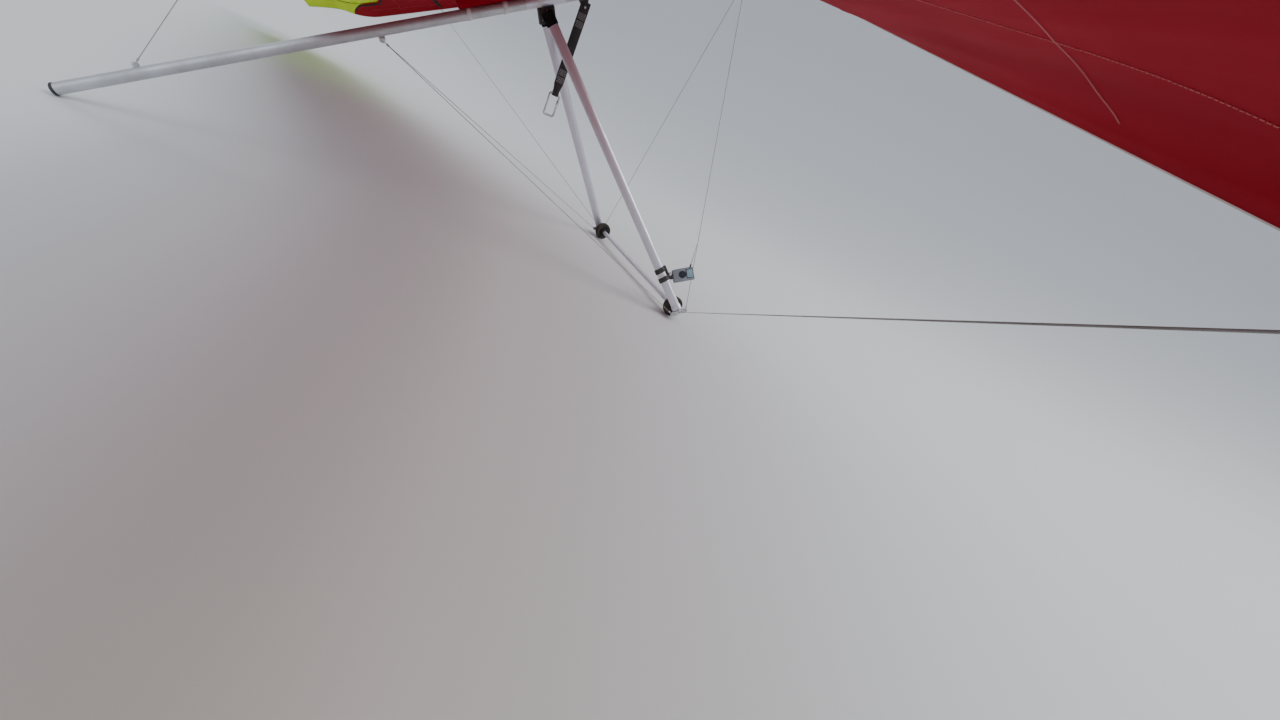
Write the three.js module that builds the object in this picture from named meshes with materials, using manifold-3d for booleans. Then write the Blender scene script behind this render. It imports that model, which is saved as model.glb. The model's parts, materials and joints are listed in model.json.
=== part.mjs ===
// Hang glider: a kingposted, double-surface flex wing parked tail down.
// It rests on the two wheels of its base bar and on the end of its keel.
//
// Units are millimetres. The glider is drawn in its keel frame: +X forward along the
// keel, +Y to port, +Z square to the keel, with zero on the keel axis above the tops
// of the downtubes. One group then turns that frame nose up into the parked attitude.

import * as THREE from 'three';
import { mergeVertices } from 'three/addons/utils/BufferGeometryUtils.js';
import Module from 'manifold-3d';

const wasm = await Module();
wasm.setup();

// Driving dimensions

const GAP = 0.3;
const SIDES = [['port', 1], ['starboard', -1]];

const KEEL_RADIUS = 24;
const KEEL_FRONT_X = 1170;
const KEEL_REAR_X = -2188;
const KEEL_CAP_RADIUS = 25.5;
const KEEL_CAP_END_X = -2204;
const KEEL_CAP_CHAMFER = 4;

const NOSE_X = 1243;
const NOSE_BOTTOM_Z = -38;
const SWEEP = 0.51;
const DIHEDRAL = -0.009;
const LEADING_RADIUS = 30;
const ROOT_Y = 31;
const SURFACE_END_Y = 4120;
const TIP_Y = 5030;
const TIP_CURVE_START_Y = 4700;
const TIP_CURVE = 0.0023;
const TIP_RISE_START_Y = 3950;
const TIP_RISE = 0.000163;
const TRAILING_X = -1100;
const TRAILING_SWEEP = 0.196;
const TRAILING_ROOT_Z = 170;
const TRAILING_TWIST_Z = 160;
const CAMBER = 0.092;
const CLOTH = 8;
const POCKET_DEPTH = 90;
const ROOT_FLATNESS = 1.5;
const OUTER_FLATNESS = 0.6;

const POST_TOP_Y = 35;
const POST_TOP_Z = -55;
const CORNER_X = 392;
const CORNER_Y = 695;
const CORNER_Z = -1516;
const POST_CHORD = 52;
const POST_THICKNESS = 22;
const POST_COVER_LENGTH = 52;
const BAR_RADIUS = 15;
const WHEEL_Y = 625;
const WHEEL_RADIUS = 60;
const WHEEL_WIDTH = 45;

const KINGPOST_X = 62;
const KINGPOST_TOP_X = -15;
const KINGPOST_TOP_Z = 1215;

const WIRE_RADIUS = 1.5;
const REAR_TANG_X = -807;
const NOSE_TANG_X = 1100;
const JUNCTION_Y = 2880;
const UPPER_REAR_X = -1850;

const STRAP_X = 200;
const STRAP_WIDTH = 50;
const STRAP_THICKNESS = 8;
const STRAP_PIVOT_Z = -56;
const STRAP_LENGTH = 405;

// Parked attitude: the wheels and the lower edge of the keel's end cap touch the floor

const CAP_EDGE_X = KEEL_CAP_END_X + KEEL_CAP_CHAMFER;
const reachX = CORNER_X - CAP_EDGE_X;
const reachZ = CORNER_Z + KEEL_CAP_RADIUS;
const PITCH = Math.atan2(-reachZ, reachX) + Math.asin(WHEEL_RADIUS / Math.hypot(reachX, reachZ));
const KEEL_HEIGHT = KEEL_CAP_RADIUS * Math.cos(PITCH) - CAP_EDGE_X * Math.sin(PITCH);

// Colours and finishes

function finish(color, roughness, metalness) {
  return new THREE.MeshStandardMaterial({ color, roughness, metalness });
}

const bareTube = () => finish('#b9bcc0', 0.35, 0.9);
const anodisedTube = () => finish('#c9c6cf', 0.3, 0.7);
const blackPlastic = () => finish('#141416', 0.6, 0);
const steel = () => finish('#9a9ca0', 0.3, 1);
const coatedWire = () => finish('#7c7876', 0.5, 0.4);
const redCloth = () => finish('#9c0f16', 0.7, 0);
const limeCloth = () => finish('#a6d21e', 0.7, 0);
const whiteCloth = () => finish('#ece9e6', 0.7, 0);
const webbing = () => finish('#17171a', 0.9, 0);
const rubber = () => finish('#101012', 0.85, 0);
const greyCase = () => finish('#8f969c', 0.5, 0.1);

// Small helpers

const vec = (x, y, z) => new THREE.Vector3(x, y, z);

const glider = new THREE.Group();

function add(name, geometry, material, parent = glider) {
  const mesh = new THREE.Mesh(geometry, material);
  mesh.name = name;
  parent.add(mesh);
  return mesh;
}

// Turns a mesh drawn along +Z so that it runs from one point towards another, with its
// local +X as near as can be to the chord direction.
function lay(mesh, from, to, chord = vec(1, 0, 0)) {
  const along = to.clone().sub(from).normalize();
  const across = chord.clone().addScaledVector(along, -chord.dot(along)).normalize();
  const third = along.clone().cross(across);
  const basis = new THREE.Matrix4().makeBasis(across, third, along);
  mesh.quaternion.setFromRotationMatrix(basis);
  mesh.position.copy(from);
  return mesh;
}

function rod(name, from, to, radius, material, sides = 24) {
  const length = from.distanceTo(to);
  const geometry = new THREE.CylinderGeometry(radius, radius, length, sides);
  geometry.rotateX(Math.PI / 2);
  geometry.translate(0, 0, length / 2);
  return lay(add(name, geometry, material), from, to, vec(0, 0, 1));
}

function box(x0, x1, y0, y1, z0, z1) {
  const geometry = new THREE.BoxGeometry(x1 - x0, y1 - y0, z1 - z0);
  geometry.translate((x0 + x1) / 2, (y0 + y1) / 2, (z0 + z1) / 2);
  return geometry;
}

// Extrudes an outline drawn in X and Z across the glider, between two Y positions.
function slabAcross(shape, y0, y1, curveSegments = 8) {
  const options = { depth: y1 - y0, bevelEnabled: false, curveSegments };
  const geometry = new THREE.ExtrudeGeometry(shape, options);
  geometry.rotateX(Math.PI / 2);
  geometry.translate(0, y1, 0);
  return geometry;
}

// Turns a body about the glider's Y axis, as a wheel or a ring on the base bar.
function lathed(profile, segments) {
  const points = profile.map(([radius, along]) => new THREE.Vector2(radius, along));
  return new THREE.LatheGeometry(points, segments);
}

function toSolid(geometry, matrix = new THREE.Matrix4()) {
  let plain = geometry.clone().applyMatrix4(matrix);
  plain.deleteAttribute('normal');
  plain.deleteAttribute('uv');
  plain = mergeVertices(plain, 1e-4);
  return new wasm.Manifold(new wasm.Mesh({
    numProp: 3,
    vertProperties: new Float32Array(plain.attributes.position.array),
    triVerts: new Uint32Array(plain.index.array),
  }));
}

function fromSolid(solid) {
  const mesh = solid.getMesh();
  const geometry = new THREE.BufferGeometry();
  geometry.setAttribute('position', new THREE.BufferAttribute(new Float32Array(mesh.vertProperties), 3));
  geometry.setIndex(Array.from(mesh.triVerts));
  return geometry;
}

// Skins a row of closed rings that each lie in a plane of constant Y, and caps both ends.
function loft(rings) {
  const count = rings[0].length;
  const positions = rings.flat().flatMap((p) => [p.x, p.y, p.z]);
  const index = [];
  for (let i = 0; i + 1 < rings.length; i += 1) {
    for (let j = 0; j < count; j += 1) {
      const k = (j + 1) % count;
      const a = i * count;
      const b = a + count;
      index.push(a + j, b + j, b + k, a + j, b + k, a + k);
    }
  }
  [0, rings.length - 1].forEach((ringNumber) => {
    const outline = rings[ringNumber].map((p) => new THREE.Vector2(p.x, p.z));
    const turn = Math.sign(THREE.ShapeUtils.area(outline));
    THREE.ShapeUtils.triangulateShape(outline, []).forEach(([a, b, c]) => {
      const same = Math.sign(THREE.ShapeUtils.area([outline[a], outline[b], outline[c]])) === turn;
      const forward = same === (ringNumber === 0);
      const base = ringNumber * count;
      index.push(base + a, base + (forward ? b : c), base + (forward ? c : b));
    });
  });
  const geometry = new THREE.BufferGeometry();
  geometry.setAttribute('position', new THREE.Float32BufferAttribute(positions, 3));
  geometry.setIndex(signedVolume(positions, index) < 0 ? index.reverse() : index);
  return geometry;
}

function signedVolume(positions, index) {
  let sum = 0;
  const corner = (n) => vec(positions[3 * n], positions[3 * n + 1], positions[3 * n + 2]);
  for (let i = 0; i < index.length; i += 3) {
    sum += corner(index[i]).dot(corner(index[i + 1]).cross(corner(index[i + 2])));
  }
  return sum / 6;
}

// The sail's shape: heights of its upper and lower cloth at a distance behind the leading
// edge. The lower cloth hangs fullest near the root and rises soonest past the junction.

const past = (y, start) => Math.max(0, y - start);
const leadX = (y) => NOSE_X - SWEEP * y - TIP_CURVE * past(y, TIP_CURVE_START_Y) ** 2;
const tipRise = (y) => TIP_RISE * past(y, TIP_RISE_START_Y) ** 2;
const trailX = (y) => TRAILING_X - TRAILING_SWEEP * y;
const chordAt = (y) => leadX(y) - trailX(y);
const edgeRadius = (y) => Math.min(LEADING_RADIUS, 0.1 * chordAt(y));
const leadZ = (y) => NOSE_BOTTOM_Z + LEADING_RADIUS + DIHEDRAL * y + tipRise(y);

function trailZ(y) {
  const outward = Math.min(1, y / SURFACE_END_Y);
  return TRAILING_ROOT_Z + TRAILING_TWIST_Z * Math.sin(outward * Math.PI / 2) + tipRise(y) / 2;
}

// How far behind the leading edge the lower cloth is sewn to the upper one
function hemDepth(y) {
  const inward = Math.max(0, SURFACE_END_Y - y);
  const hem = 0.299 * inward + 0.000024 * inward ** 2;
  return Math.min(Math.max(POCKET_DEPTH, hem), 0.36 * chordAt(y) + 0.34 * inward);
}

// The height of the arch over the chord. The shape sqrt(p)(1 - p) peaks at this value,
// a third of the way back, and the tip panel grows flatter as it narrows.
const ARCH_PEAK = 2 / (3 * Math.sqrt(3));

function archZ(y, part) {
  const flattening = Math.min(1, chordAt(y) / chordAt(SURFACE_END_Y));
  return CAMBER * chordAt(y) * flattening * Math.sqrt(part) * (1 - part) / ARCH_PEAK;
}

function upperZ(y, back) {
  const part = back / chordAt(y);
  return leadZ(y) + (trailZ(y) - leadZ(y)) * part + archZ(y, part);
}

function lowerZ(y, back) {
  const radius = edgeRadius(y);
  const hem = hemDepth(y);
  if (back >= hem) return upperZ(y, back) - CLOTH;
  if (back <= radius) return leadZ(y) - Math.sqrt(2 * radius * back - back * back);
  const flatness = ROOT_FLATNESS + (OUTER_FLATNESS - ROOT_FLATNESS) * Math.min(1, y / JUNCTION_Y);
  const bottom = leadZ(y) - radius;
  const rise = upperZ(y, hem) - CLOTH - bottom;
  return bottom + rise * ((back - radius) / (hem - radius)) ** flatness;
}

const EDGE_STEPS = [0, 0.12, 0.45, 1];
const SURFACE_STEPS = [0.03, 0.08, 0.16, 0.3, 0.5, 0.75, 1];
const SINGLE_STEPS = [0.15, 0.35, 0.6, 0.8, 1];

function chordSteps(y) {
  const radius = edgeRadius(y);
  const hem = hemDepth(y);
  return [
    ...EDGE_STEPS.map((step) => radius * step),
    ...SURFACE_STEPS.map((step) => radius + (hem - radius) * step),
    ...SINGLE_STEPS.map((step) => hem + (chordAt(y) - hem) * step),
  ];
}

function wingRing(y, side) {
  const steps = chordSteps(y);
  const upper = steps.map((back) => vec(leadX(y) - back, side * y, upperZ(y, back)));
  const lower = steps.slice(1).reverse().map((back) => vec(leadX(y) - back, side * y, lowerZ(y, back)));
  return [...upper, ...lower];
}

// Sail: two main panels, two tip panels and the strips over the keel

const MAIN_STATIONS = [ROOT_Y, 130, 250, 500, 1000, 1600, 2250, JUNCTION_Y, 3450, 3850, SURFACE_END_Y - GAP];
const TIP_STATIONS = [SURFACE_END_Y, 4400, 4700, 4850, 4960, TIP_Y];

SIDES.forEach(([label, side]) => {
  add(`sail_${label}`, loft(MAIN_STATIONS.map((y) => wingRing(y, side))), redCloth());
  add(`sail_tip_${label}`, loft(TIP_STATIONS.map((y) => wingRing(y, side))), limeCloth());
});

const STRIP_HALF = ROOT_Y - GAP;
const POCKET_FRONT_X = 10;
const POCKET_REAR_X = -420;
const POCKET_HEEL_X = -500;
const STRIP_FRONT_X = 1195;
const STRIP_REAR_X = 118;

// The root section's upper line between two stations, on the same corners as the panels
function upperLine(frontX, rearX) {
  const corners = chordSteps(ROOT_Y).map((back) => [leadX(ROOT_Y) - back, upperZ(ROOT_Y, back)]);
  const heightAt = (x) => {
    const i = Math.max(1, corners.findIndex((corner) => corner[0] <= x));
    const [[x0, z0], [x1, z1]] = [corners[i - 1], corners[i]];
    return z0 + (z1 - z0) * (x - x0) / (x1 - x0);
  };
  const between = corners.map((corner) => corner[0]).filter((x) => x < frontX - 1 && x > rearX + 1);
  return [frontX, ...between, rearX].map((x) => new THREE.Vector2(x, heightAt(x)));
}

function stripOutline(top, bottom) {
  return new THREE.Shape([...top, ...bottom.reverse()]);
}

const pocketTop = upperLine(POCKET_FRONT_X, trailX(ROOT_Y) + 1);
const underCloth = (p) => new THREE.Vector2(p.x, p.y - CLOTH);
const pocketBottom = upperLine(POCKET_HEEL_X, trailX(ROOT_Y) + 1).map(underCloth);
const pocketFoot = [POCKET_FRONT_X, POCKET_REAR_X].map((x) => new THREE.Vector2(x, KEEL_RADIUS + 1));
const pocketShape = stripOutline(pocketTop, [...pocketFoot, ...pocketBottom]);
add('keel_pocket', slabAcross(pocketShape, -STRIP_HALF, STRIP_HALF), redCloth());

const frontTop = upperLine(STRIP_FRONT_X, STRIP_REAR_X);
const frontBottom = frontTop.map(underCloth);
add('nose_strip', slabAcross(stripOutline(frontTop, frontBottom), -STRIP_HALF, STRIP_HALF), whiteCloth());

// Nose cone: a thin cap around the front of both panels

const CONE_INNER = 1.5;
const CONE_OUTER = 6.5;
const CONE_STATIONS = [-250, -130, -ROOT_Y, ROOT_Y, 130, 250];
const CONE_UPPER_POINTS = 7;
const CONE_LOWER_POINTS = 3;

function coneRing(y) {
  const out = Math.abs(y);
  const steps = chordSteps(out);
  const over = steps.slice(0, CONE_UPPER_POINTS).reverse().map((back) => [back, upperZ(out, back)]);
  const under = steps.slice(1, 1 + CONE_LOWER_POINTS).map((back) => [back, lowerZ(out, back)]);
  const line = [...over, ...under].map(([back, z]) => new THREE.Vector2(leadX(out) - back, z));
  const pushed = (offset) => line.map((point, i) => {
    const before = line[Math.max(0, i - 1)];
    const after = line[Math.min(line.length - 1, i + 1)];
    const run = after.clone().sub(before).normalize();
    return vec(point.x - run.y * offset, y, point.y + run.x * offset);
  });
  return [...pushed(CONE_OUTER), ...pushed(CONE_INNER).reverse()];
}

add('nose_cone', loft(CONE_STATIONS.map(coneRing)), whiteCloth());

// Keel, nose plate and tangs

rod('keel_tube', vec(KEEL_REAR_X, 0, 0), vec(KEEL_FRONT_X, 0, 0), KEEL_RADIUS, bareTube(), 32);

const capProfile = [
  [0, KEEL_REAR_X - GAP],
  [KEEL_CAP_RADIUS, KEEL_REAR_X - GAP],
  [KEEL_CAP_RADIUS, CAP_EDGE_X],
  [KEEL_CAP_RADIUS - KEEL_CAP_CHAMFER, KEEL_CAP_END_X],
  [0, KEEL_CAP_END_X],
];
const capGeometry = lathed(capProfile.map(([radius, x]) => [radius, x]).reverse(), 32);
capGeometry.rotateZ(-Math.PI / 2);
add('keel_end_cap', capGeometry, blackPlastic());

const PLATE_TOP_Z = NOSE_BOTTOM_Z - 4;
const PLATE_THICKNESS = 4;
const PLATE_BOTTOM_Z = PLATE_TOP_Z - PLATE_THICKNESS;
const PLATE_OUTLINE = [[1178, 45], [1134, 118], [1036, 60], [1036, -60], [1134, -118], [1178, -45]];
const BLOCK_REAR_X = 1060;
const BLOCK_FRONT_X = 1140;
const BLOCK_HALF_WIDTH = 18;
const plateShape = new THREE.Shape(PLATE_OUTLINE.map(([x, y]) => new THREE.Vector2(x, y)));
const plateOptions = { depth: PLATE_THICKNESS, bevelEnabled: false };
const plateGeometry = new THREE.ExtrudeGeometry(plateShape, plateOptions);
plateGeometry.translate(0, 0, PLATE_TOP_Z - PLATE_THICKNESS);
add('nose_plate', plateGeometry, steel());
const blockAcross = [-BLOCK_HALF_WIDTH, BLOCK_HALF_WIDTH];
const noseBlock = box(BLOCK_REAR_X, BLOCK_FRONT_X, ...blockAcross, PLATE_TOP_Z + GAP, -KEEL_RADIUS - GAP);
add('nose_block', noseBlock, blackPlastic());

const TANG_THICKNESS = 6;
const half = TANG_THICKNESS / 2;
const UNDER_KEEL_Z = -KEEL_RADIUS - GAP;
const OVER_KEEL_Z = KEEL_RADIUS + GAP;
const KEEL_TANGS = [
  { name: 'nose_tang', x: NOSE_TANG_X, halfLength: 15, bottomZ: -74, topZ: PLATE_BOTTOM_Z - GAP },
  { name: 'rear_tang', x: REAR_TANG_X, halfLength: 15, bottomZ: -50, topZ: UNDER_KEEL_Z },
  { name: 'upper_rear_tang', x: UPPER_REAR_X, halfLength: 14, bottomZ: OVER_KEEL_Z, topZ: 46 },
];

KEEL_TANGS.forEach(({ name, x, halfLength, bottomZ, topZ }) => {
  add(name, box(x - halfLength, x + halfLength, -half, half, bottomZ, topZ), steel());
});

// Control frame

// A streamlined tube section: a half ellipse in front and a taper behind
function streamlined(chord, thickness) {
  const widest = 0.12 * chord;
  const tail = 0.09 * thickness;
  const shape = new THREE.Shape();
  shape.absellipse(widest, 0, chord / 2 - widest, thickness / 2, -Math.PI / 2, Math.PI / 2, false);
  shape.quadraticCurveTo(widest - 0.34 * chord, thickness / 2, -chord / 2, tail);
  shape.lineTo(-chord / 2, -tail);
  shape.quadraticCurveTo(widest - 0.34 * chord, -thickness / 2, widest, -thickness / 2);
  return shape;
}

function profiled(chord, thickness, from, to) {
  const options = { depth: to - from, bevelEnabled: false, curveSegments: 8 };
  const geometry = new THREE.ExtrudeGeometry(streamlined(chord, thickness), options);
  geometry.translate(0, 0, from);
  return geometry;
}

add('apex_bracket', box(-42, 42, -16, 16, -92, -KEEL_RADIUS - GAP), blackPlastic());

const POST_END = 42;
const SLEEVE_END = 18;
const SOCKET_WALL = 3;
const SOCKET_LENGTH = 45;
const SOCKET_Y = 682.5;
const TANG_INNER_Y = 703;
const TANG_HALF_LENGTH = 54;
const TANG_HALF_DEPTH = 13;

SIDES.forEach(([label, side]) => {
  const top = vec(0, side * POST_TOP_Y, POST_TOP_Z);
  const corner = vec(CORNER_X, side * CORNER_Y, CORNER_Z);
  const length = top.distanceTo(corner);
  const cover = profiled(POST_CHORD + 8, POST_THICKNESS + 6, -12, POST_COVER_LENGTH);
  lay(add(`downtube_cover_${label}`, cover, blackPlastic()), top, corner);
  const post = profiled(POST_CHORD, POST_THICKNESS, POST_COVER_LENGTH + GAP, length - POST_END);
  lay(add(`downtube_${label}`, post, anodisedTube()), top, corner);

  // The corner bracket joins the foot of the downtube, the end of the bar and the wires
  const placed = new THREE.Object3D();
  lay(placed, top, corner);
  placed.updateMatrix();
  const sleeve = profiled(POST_CHORD + 6, POST_THICKNESS + 6, length - POST_END + GAP, length + SLEEVE_END);
  const socketRadius = BAR_RADIUS + SOCKET_WALL;
  const socket = new THREE.CylinderGeometry(socketRadius, socketRadius, SOCKET_LENGTH, 24);
  socket.translate(CORNER_X, side * SOCKET_Y, CORNER_Z);
  const tangAlong = [CORNER_X - TANG_HALF_LENGTH, CORNER_X + TANG_HALF_LENGTH];
  const tangDepth = [CORNER_Z - TANG_HALF_DEPTH, CORNER_Z + TANG_HALF_DEPTH];
  const tangY = side > 0 ? TANG_INNER_Y : -TANG_INNER_Y - TANG_THICKNESS;
  const tang = box(...tangAlong, tangY, tangY + TANG_THICKNESS, ...tangDepth);
  const bracket = toSolid(sleeve, placed.matrix).add(toSolid(socket)).add(toSolid(tang));
  add(`corner_bracket_${label}`, fromSolid(bracket), steel());
});

const BAR_END_Y = 660 - GAP;
const barFrom = vec(CORNER_X, -BAR_END_Y, CORNER_Z);
const barTo = vec(CORNER_X, BAR_END_Y, CORNER_Z);
rod('base_bar', barFrom, barTo, BAR_RADIUS, anodisedTube(), 24);

// Wheels and the collars that keep them in place

const HUB_RADIUS = 36;
const HUB_BORE = BAR_RADIUS + 0.6;
const COLLAR_Y = 588;
const halfWheel = WHEEL_WIDTH / 2;
const TYRE_SHOULDER = 7;

const tyreProfile = [
  [HUB_RADIUS + GAP, -halfWheel + 5],
  [WHEEL_RADIUS - TYRE_SHOULDER, -halfWheel],
  [WHEEL_RADIUS - 1.5, -halfWheel + TYRE_SHOULDER],
  [WHEEL_RADIUS, -5],
  [WHEEL_RADIUS, 5],
  [WHEEL_RADIUS - 1.5, halfWheel - TYRE_SHOULDER],
  [WHEEL_RADIUS - TYRE_SHOULDER, halfWheel],
  [HUB_RADIUS + GAP, halfWheel - 5],
];
const hubProfile = [
  [HUB_BORE, -halfWheel],
  [HUB_BORE + 6, -halfWheel],
  [HUB_BORE + 8, -halfWheel + 6],
  [HUB_RADIUS, -halfWheel + 8],
  [HUB_RADIUS, halfWheel - 8],
  [HUB_BORE + 8, halfWheel - 6],
  [HUB_BORE + 6, halfWheel],
  [HUB_BORE, halfWheel],
];
const collarProfile = [
  [BAR_RADIUS + GAP, -9],
  [BAR_RADIUS + 6, -9],
  [BAR_RADIUS + 6, 9],
  [BAR_RADIUS + GAP, 9],
];
const ringProfile = (profile) => [...profile, profile[0]];

SIDES.forEach(([label, side]) => {
  const place = (mesh, y) => mesh.position.set(CORNER_X, side * y, CORNER_Z);
  place(add(`wheel_tyre_${label}`, lathed(ringProfile(tyreProfile), 48), rubber()), WHEEL_Y);
  place(add(`wheel_hub_${label}`, lathed(ringProfile(hubProfile), 32), blackPlastic()), WHEEL_Y);
  place(add(`bar_collar_${label}`, lathed(ringProfile(collarProfile), 24), blackPlastic()), COLLAR_Y);
});

// Kingpost

const KINGPOST_CHORD = 44;
const KINGPOST_THICKNESS = 20;
const KING_CAP_WALL = 3;
const KING_CAP_START = 30;
const KING_CAP_END = 12;
const KING_FOOT_TOP_Z = 56;
const KING_FOOT_HALF_LENGTH = 34;
const KING_FOOT_HALF_WIDTH = 17;

const footAlong = [KINGPOST_X - KING_FOOT_HALF_LENGTH, KINGPOST_X + KING_FOOT_HALF_LENGTH];
const footAcross = [-KING_FOOT_HALF_WIDTH, KING_FOOT_HALF_WIDTH];
add('kingpost_foot', box(...footAlong, ...footAcross, OVER_KEEL_Z, KING_FOOT_TOP_Z - GAP), steel());

const postFoot = vec(KINGPOST_X, 0, KING_FOOT_TOP_Z);
const postTop = vec(KINGPOST_TOP_X, 0, KINGPOST_TOP_Z);
const kingLength = postFoot.distanceTo(postTop);
const kingTube = profiled(KINGPOST_CHORD, KINGPOST_THICKNESS, 2, kingLength - KING_CAP_START);
lay(add('kingpost', kingTube, anodisedTube()), postFoot, postTop);
const kingCap = profiled(
  KINGPOST_CHORD + 2 * KING_CAP_WALL,
  KINGPOST_THICKNESS + 2 * KING_CAP_WALL,
  kingLength - KING_CAP_START + GAP,
  kingLength + KING_CAP_END,
);
lay(add('kingpost_cap', kingCap, blackPlastic()), postFoot, postTop);

// Rigging wires, each trimmed where its fittings begin

function wire(name, from, to, trimFrom, trimTo) {
  const along = to.clone().sub(from).normalize();
  const start = from.clone().addScaledVector(along, trimFrom);
  const end = to.clone().addScaledVector(along, -trimTo);
  return rod(name, start, end, WIRE_RADIUS, coatedWire(), 8);
}

const postHead = vec(KINGPOST_TOP_X, 0, KINGPOST_TOP_Z - 6);
const noseHook = vec(NOSE_TANG_X, 0, -64);
const rearHook = vec(REAR_TANG_X, 0, -40);
const JUNCTION_BACK = 30;
const junctionX = leadX(JUNCTION_Y) - JUNCTION_BACK;
const junctionZ = leadZ(JUNCTION_Y) - LEADING_RADIUS;

SIDES.forEach(([label, side]) => {
  const bracket = (dx) => vec(CORNER_X + dx, side * 706, CORNER_Z);
  wire(`front_wire_${label}`, bracket(44), noseHook, 16, 26);
  wire(`rear_wire_${label}`, bracket(-44), rearHook, 16, 24);
  const hook = vec(junctionX, side * (JUNCTION_Y - 6), junctionZ - 30);
  wire(`side_wire_${label}`, bracket(0), hook, 22, 14);
  const tangFace = [side * JUNCTION_Y - 14, side * JUNCTION_Y + 14];
  const tang = box(junctionX - half, junctionX + half, ...tangFace, junctionZ - 38, junctionZ - 1);
  add(`side_tang_${label}`, tang, steel());
  const back = JUNCTION_BACK + 20;
  const upperEnd = vec(leadX(JUNCTION_Y) - back, side * JUNCTION_Y, upperZ(JUNCTION_Y, back));
  wire(`upper_side_wire_${label}`, postHead, upperEnd, 26, 30);
});

const coneTop = vec(1120, 0, upperZ(ROOT_Y, leadX(ROOT_Y) - 1120));
wire('upper_front_wire', postHead, coneTop, 46, 32);
wire('upper_rear_wire', postHead, vec(UPPER_REAR_X, 0, 44), 46, 20);

// Hang loop on the keel, the strap that swings under it and the carabiner in its eye

const LOOP_OUTER = KEEL_RADIUS + 4;
const CHEEK_INNER = STRAP_THICKNESS / 2 + 0.8;
const CHEEK_OUTER = CHEEK_INNER + 4;
const ROUND = 19;

const loopBand = new THREE.Shape().absarc(0, 0, LOOP_OUTER, 0, Math.PI * 2, false);
loopBand.holes.push(new THREE.Path().absarc(0, 0, KEEL_RADIUS + GAP, 0, Math.PI * 2, true));
const bandOptions = { depth: STRAP_WIDTH, bevelEnabled: false, curveSegments: 16 };
const bandGeometry = new THREE.ExtrudeGeometry(loopBand, bandOptions);
bandGeometry.rotateY(Math.PI / 2);
bandGeometry.translate(STRAP_X - STRAP_WIDTH / 2, 0, 0);

function tongue(radius, upTo) {
  const shape = new THREE.Shape();
  shape.moveTo(radius, upTo);
  shape.lineTo(-radius, upTo);
  shape.lineTo(-radius, 0);
  shape.absarc(0, 0, radius, Math.PI, Math.PI * 2, false);
  return shape;
}

const cheek = tongue(ROUND, 31);
const cheekAt = (y0, y1) => slabAcross(cheek, y0, y1).translate(STRAP_X, 0, STRAP_PIVOT_Z);
const hangLoop = toSolid(bandGeometry)
  .add(toSolid(cheekAt(CHEEK_INNER, CHEEK_OUTER)))
  .add(toSolid(cheekAt(-CHEEK_OUTER, -CHEEK_INNER)));
add('hang_loop', fromSolid(hangLoop), webbing());

// The strap and the carabiner hang plumb, so their group undoes the parked attitude
const plumb = new THREE.Group();
plumb.position.set(STRAP_X, 0, STRAP_PIVOT_Z);
plumb.rotation.y = PITCH;
glider.add(plumb);

const EYE_RADIUS = 11.5;
const EYE_BORE = 6.6;
const EYE_WIDTH = 32;
const CARABINER_BAR = 5.5;
const eyeZ = -STRAP_LENGTH;
const halfStrap = STRAP_WIDTH / 2;
const halfEye = EYE_WIDTH / 2;
const strapShape = new THREE.Shape();
strapShape.absarc(0, 0, halfStrap, 0, Math.PI, false);
strapShape.lineTo(-halfStrap, eyeZ + 55);
strapShape.lineTo(-halfEye, eyeZ + 18);
strapShape.lineTo(-halfEye, eyeZ + 4);
strapShape.lineTo(halfEye, eyeZ + 4);
strapShape.lineTo(halfEye, eyeZ + 18);
strapShape.lineTo(halfStrap, eyeZ + 55);
const strapPlate = slabAcross(strapShape, -STRAP_THICKNESS / 2, STRAP_THICKNESS / 2);
const eyeCylinder = new THREE.CylinderGeometry(EYE_RADIUS, EYE_RADIUS, EYE_WIDTH, 24).rotateZ(Math.PI / 2);
const eyeBore = new THREE.CylinderGeometry(EYE_BORE, EYE_BORE, EYE_WIDTH + 4, 24).rotateZ(Math.PI / 2);
eyeCylinder.translate(0, 0, eyeZ);
eyeBore.translate(0, 0, eyeZ);
const strapSolid = toSolid(strapPlate).add(toSolid(eyeCylinder)).subtract(toSolid(eyeBore));
add('hang_strap', fromSolid(strapSolid), webbing(), plumb);

const CARABINER_HALF_WIDTH = 34;
const CARABINER_LENGTH = 118;
const CARABINER_CORNER = 15;

function roundedFrame(halfWidth, top, bottom, corner) {
  const shape = new THREE.Shape();
  shape.absarc(halfWidth - corner, top - corner, corner, 0, Math.PI / 2, false);
  shape.absarc(corner - halfWidth, top - corner, corner, Math.PI / 2, Math.PI, false);
  shape.absarc(corner - halfWidth, bottom + corner, corner, Math.PI, Math.PI * 1.5, false);
  shape.absarc(halfWidth - corner, bottom + corner, corner, Math.PI * 1.5, Math.PI * 2, false);
  return shape;
}

const ringTop = eyeZ + CARABINER_BAR;
const ringBottom = ringTop - CARABINER_LENGTH;
const bar = 2 * CARABINER_BAR;
const frameShape = roundedFrame(CARABINER_HALF_WIDTH, ringTop, ringBottom, CARABINER_CORNER);
const insideCorner = CARABINER_CORNER - bar;
const inside = roundedFrame(CARABINER_HALF_WIDTH - bar, ringTop - bar, ringBottom + bar, insideCorner);
frameShape.holes.push(new THREE.Path(inside.getPoints(6).reverse()));
const halfBar = 3.5;
add('carabiner', slabAcross(frameShape, -halfBar, halfBar), steel(), plumb);

// Instrument on the starboard downtube: a clamp with two bands, an arm, a case and a probe

const BAND_LENGTH = 28;
const BAND_PARTS = [0.83, 0.863];
const BAND_WALL = 6;
const BAND_CLEARANCE = 0.5;
const SPINE_INNER = 1.5;
const SPINE_OUTER = 12;
const SPINE_HALF_WIDTH = 10;

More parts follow.
